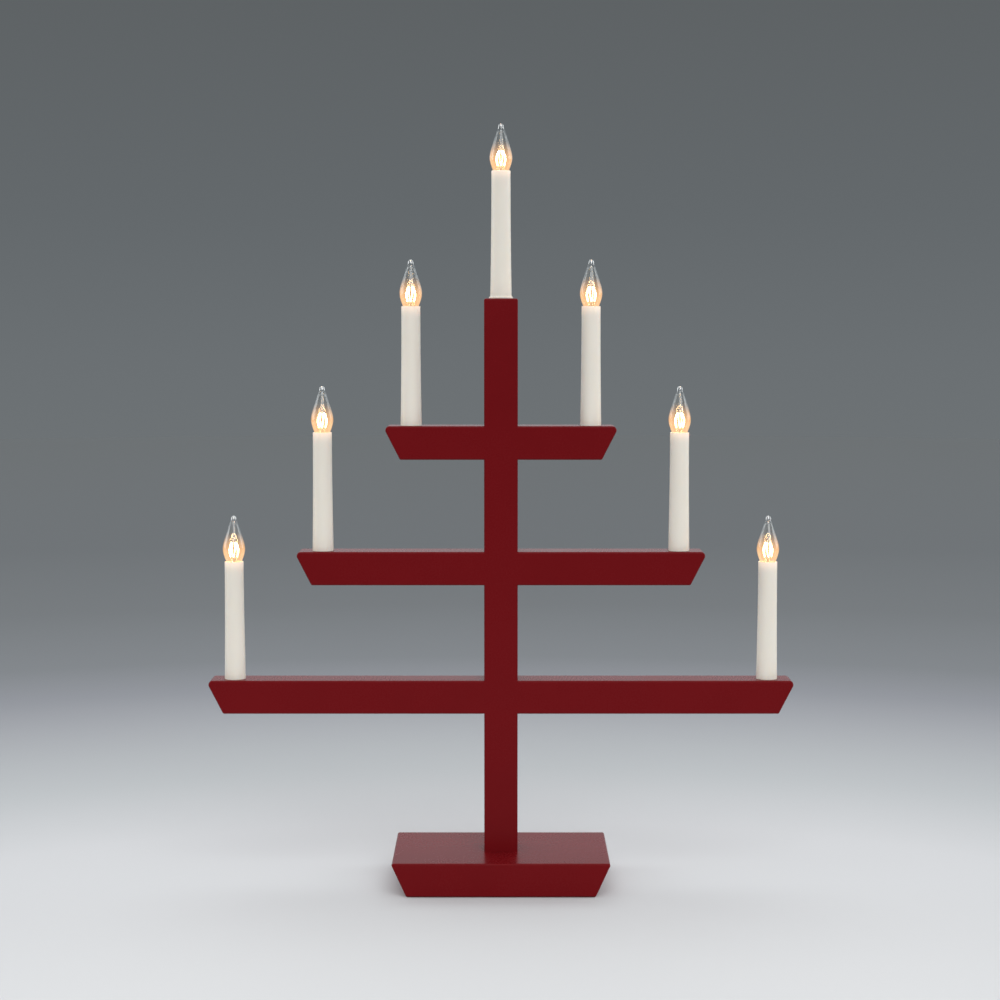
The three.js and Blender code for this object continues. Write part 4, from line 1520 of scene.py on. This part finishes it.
class CANDLE_TREE_OT_stage(Operator):
    """Sets up the floor, the backdrop, the soft lights and the camera"""

    bl_idname = "candle_tree.stage"
    bl_label = "Stage"

    def floor(self):
        sides = 96
        points = [(0, 0, 0)]
        faces = []
        for ring, radius in enumerate((0.3, 1, 2, 4, 8)):
            start = len(points)
            inner = start - sides
            points += circle(radius, 0, sides)
            for side in range(sides):
                beside = (side + 1) % sides
                if ring == 0:
                    faces.append((0, start + side, start + beside))
                else:
                    faces.append((inner + side, start + side, start + beside, inner + beside))
        mesh = bpy.data.meshes.new("floor")
        mesh.from_pydata(points, [], faces)
        mesh.materials.append(finish(floor_paint))
        ground = shown("floor", mesh)
        ground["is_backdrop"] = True

    def world(self):
        world = bpy.data.worlds.new("studio")
        world.use_nodes = True
        world.node_tree.nodes.clear()
        sky = Graph(world.node_tree)
        toward = sky.node("ShaderNodeSeparateXYZ", {0: sky.get("ShaderNodeTexCoord", "Generated")})
        height = Value(sky, toward.outputs["Z"])
        stops = [
            (0, srgb(115, 120, 122)),
            (0.4, srgb(107, 112, 115)),
            (0.6, srgb(100, 105, 108)),
            (1, srgb(92, 96, 98)),
        ]
        tone = sky.get("ShaderNodeValToRGB", 0, {0: 0.45 + height * 3}, stops=stops)
        rays = sky.node("ShaderNodeLightPath")
        kinds = ("Camera", "Glossy", "Transmission")
        camera, glossy, through = (Value(sky, rays.outputs[f"Is {kind} Ray"]) for kind in kinds)
        # A light wall above the horizon that only shows in gloss, most of all from behind
        behind = sky.eased(Value(sky, toward.outputs["Y"]), -0.3, 0.3)
        box = sky.eased(height, -0.02, 0.1) * glossy * (0.25 + 0.75 * behind)
        backdrop = sky.get("ShaderNodeBackground", 0, {"Color": tone, "Strength": 1 + 5.4 * box})
        ambient = settings().stage.ambient
        glow = sky.get("ShaderNodeBackground", 0, {"Color": (1, 1, 1, 1), "Strength": ambient})
        seen = sky.math("MAXIMUM", sky.math("MAXIMUM", camera, glossy), through)
        both = sky.get("ShaderNodeMixShader", 0, {0: seen, 1: glow, 2: backdrop})
        sky.node("ShaderNodeOutputWorld", {"Surface": both})
        bpy.context.scene.world = world

    def sun(self, name, toward, strength, spread):
        lamp = bpy.data.lights.new(name, "SUN")
        lamp.energy = strength
        lamp.angle = math.radians(spread)
        shown(name, lamp).rotation_euler = Vector(toward).to_track_quat("Z", "Y").to_euler()

    def camera(self):
        stage = settings().stage
        lens = bpy.data.cameras.new("camera")
        lens.lens = stage.lens
        lens.sensor_width = 36
        lens.clip_end = 50
        camera = shown("camera", lens)
        turn_down = Matrix.Rotation(math.pi / 2 - stage.pitch, 4, "X")
        camera.matrix_world = Matrix.Translation(stage.camera) @ turn_down
        bpy.context.scene.camera = camera

    def execute(self, context):
        stage = settings().stage
        self.floor()
        self.world()
        self.sun("front light", (0.15, -0.75, 0.6), stage.front, 50)
        self.sun("top light", (0, 0.55, 0.83), stage.top, 50)
        self.sun("left light", (-0.95, 0.22, 0.22), stage.side, 40)
        self.sun("right light", (0.95, 0.22, 0.22), stage.side, 40)
        self.camera()
        context.scene.view_settings.view_transform = "Standard"
        return {"FINISHED"}


STEPS = (
    CANDLE_TREE_OT_stage,
    CANDLE_TREE_OT_foot,
    CANDLE_TREE_OT_felt,
    CANDLE_TREE_OT_post,
    CANDLE_TREE_OT_arms,
    CANDLE_TREE_OT_strips,
    CANDLE_TREE_OT_screws,
    CANDLE_TREE_OT_sleeves,
    CANDLE_TREE_OT_holders,
    CANDLE_TREE_OT_sockets,
    CANDLE_TREE_OT_caps,
    CANDLE_TREE_OT_glasses,
    CANDLE_TREE_OT_filaments,
    CANDLE_TREE_OT_leads,
    CANDLE_TREE_OT_terminal,
    CANDLE_TREE_OT_bush,
)


class CANDLE_TREE_PT_sidebar(Panel):
    bl_label = "Candle Tree"
    bl_idname = "CANDLE_TREE_PT_sidebar"
    bl_space_type = "VIEW_3D"
    bl_region_type = "UI"
    bl_category = "Candle Tree"

    def draw(self, context):
        tree = context.scene.candle_tree
        for group in ("wood", "candle", "bulb", "lead", "stage"):
            box = self.layout.box()
            box.label(text=group.capitalize())
            chosen = getattr(tree, group)
            for name in chosen.__annotations__:
                box.prop(chosen, name)
        for step in STEPS:
            self.layout.operator(step.bl_idname)


GROUPS = (WoodSettings, CandleSettings, BulbSettings, LeadSettings, StageSettings, TreeSettings)
CLASSES = (*GROUPS, *STEPS, CANDLE_TREE_PT_sidebar)


def register():
    for group in CLASSES:
        bpy.utils.register_class(group)
    bpy.types.Scene.candle_tree = PointerProperty(type=TreeSettings)


def unregister():
    del bpy.types.Scene.candle_tree
    for group in reversed(CLASSES):
        bpy.utils.unregister_class(group)


def main():
    """Makes every piece in order, and works out the boxes of the frame and of the dressed tree."""
    register()
    for step in STEPS:
        family, name = step.bl_idname.split(".")
        getattr(getattr(bpy.ops, family), name)()
    boxes = {"cad": CAD_BOX, "visual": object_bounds()}
    {label: [list(low), list(high)] for label, (low, high) in boxes.items()}


if __name__ == "__main__":
    main()
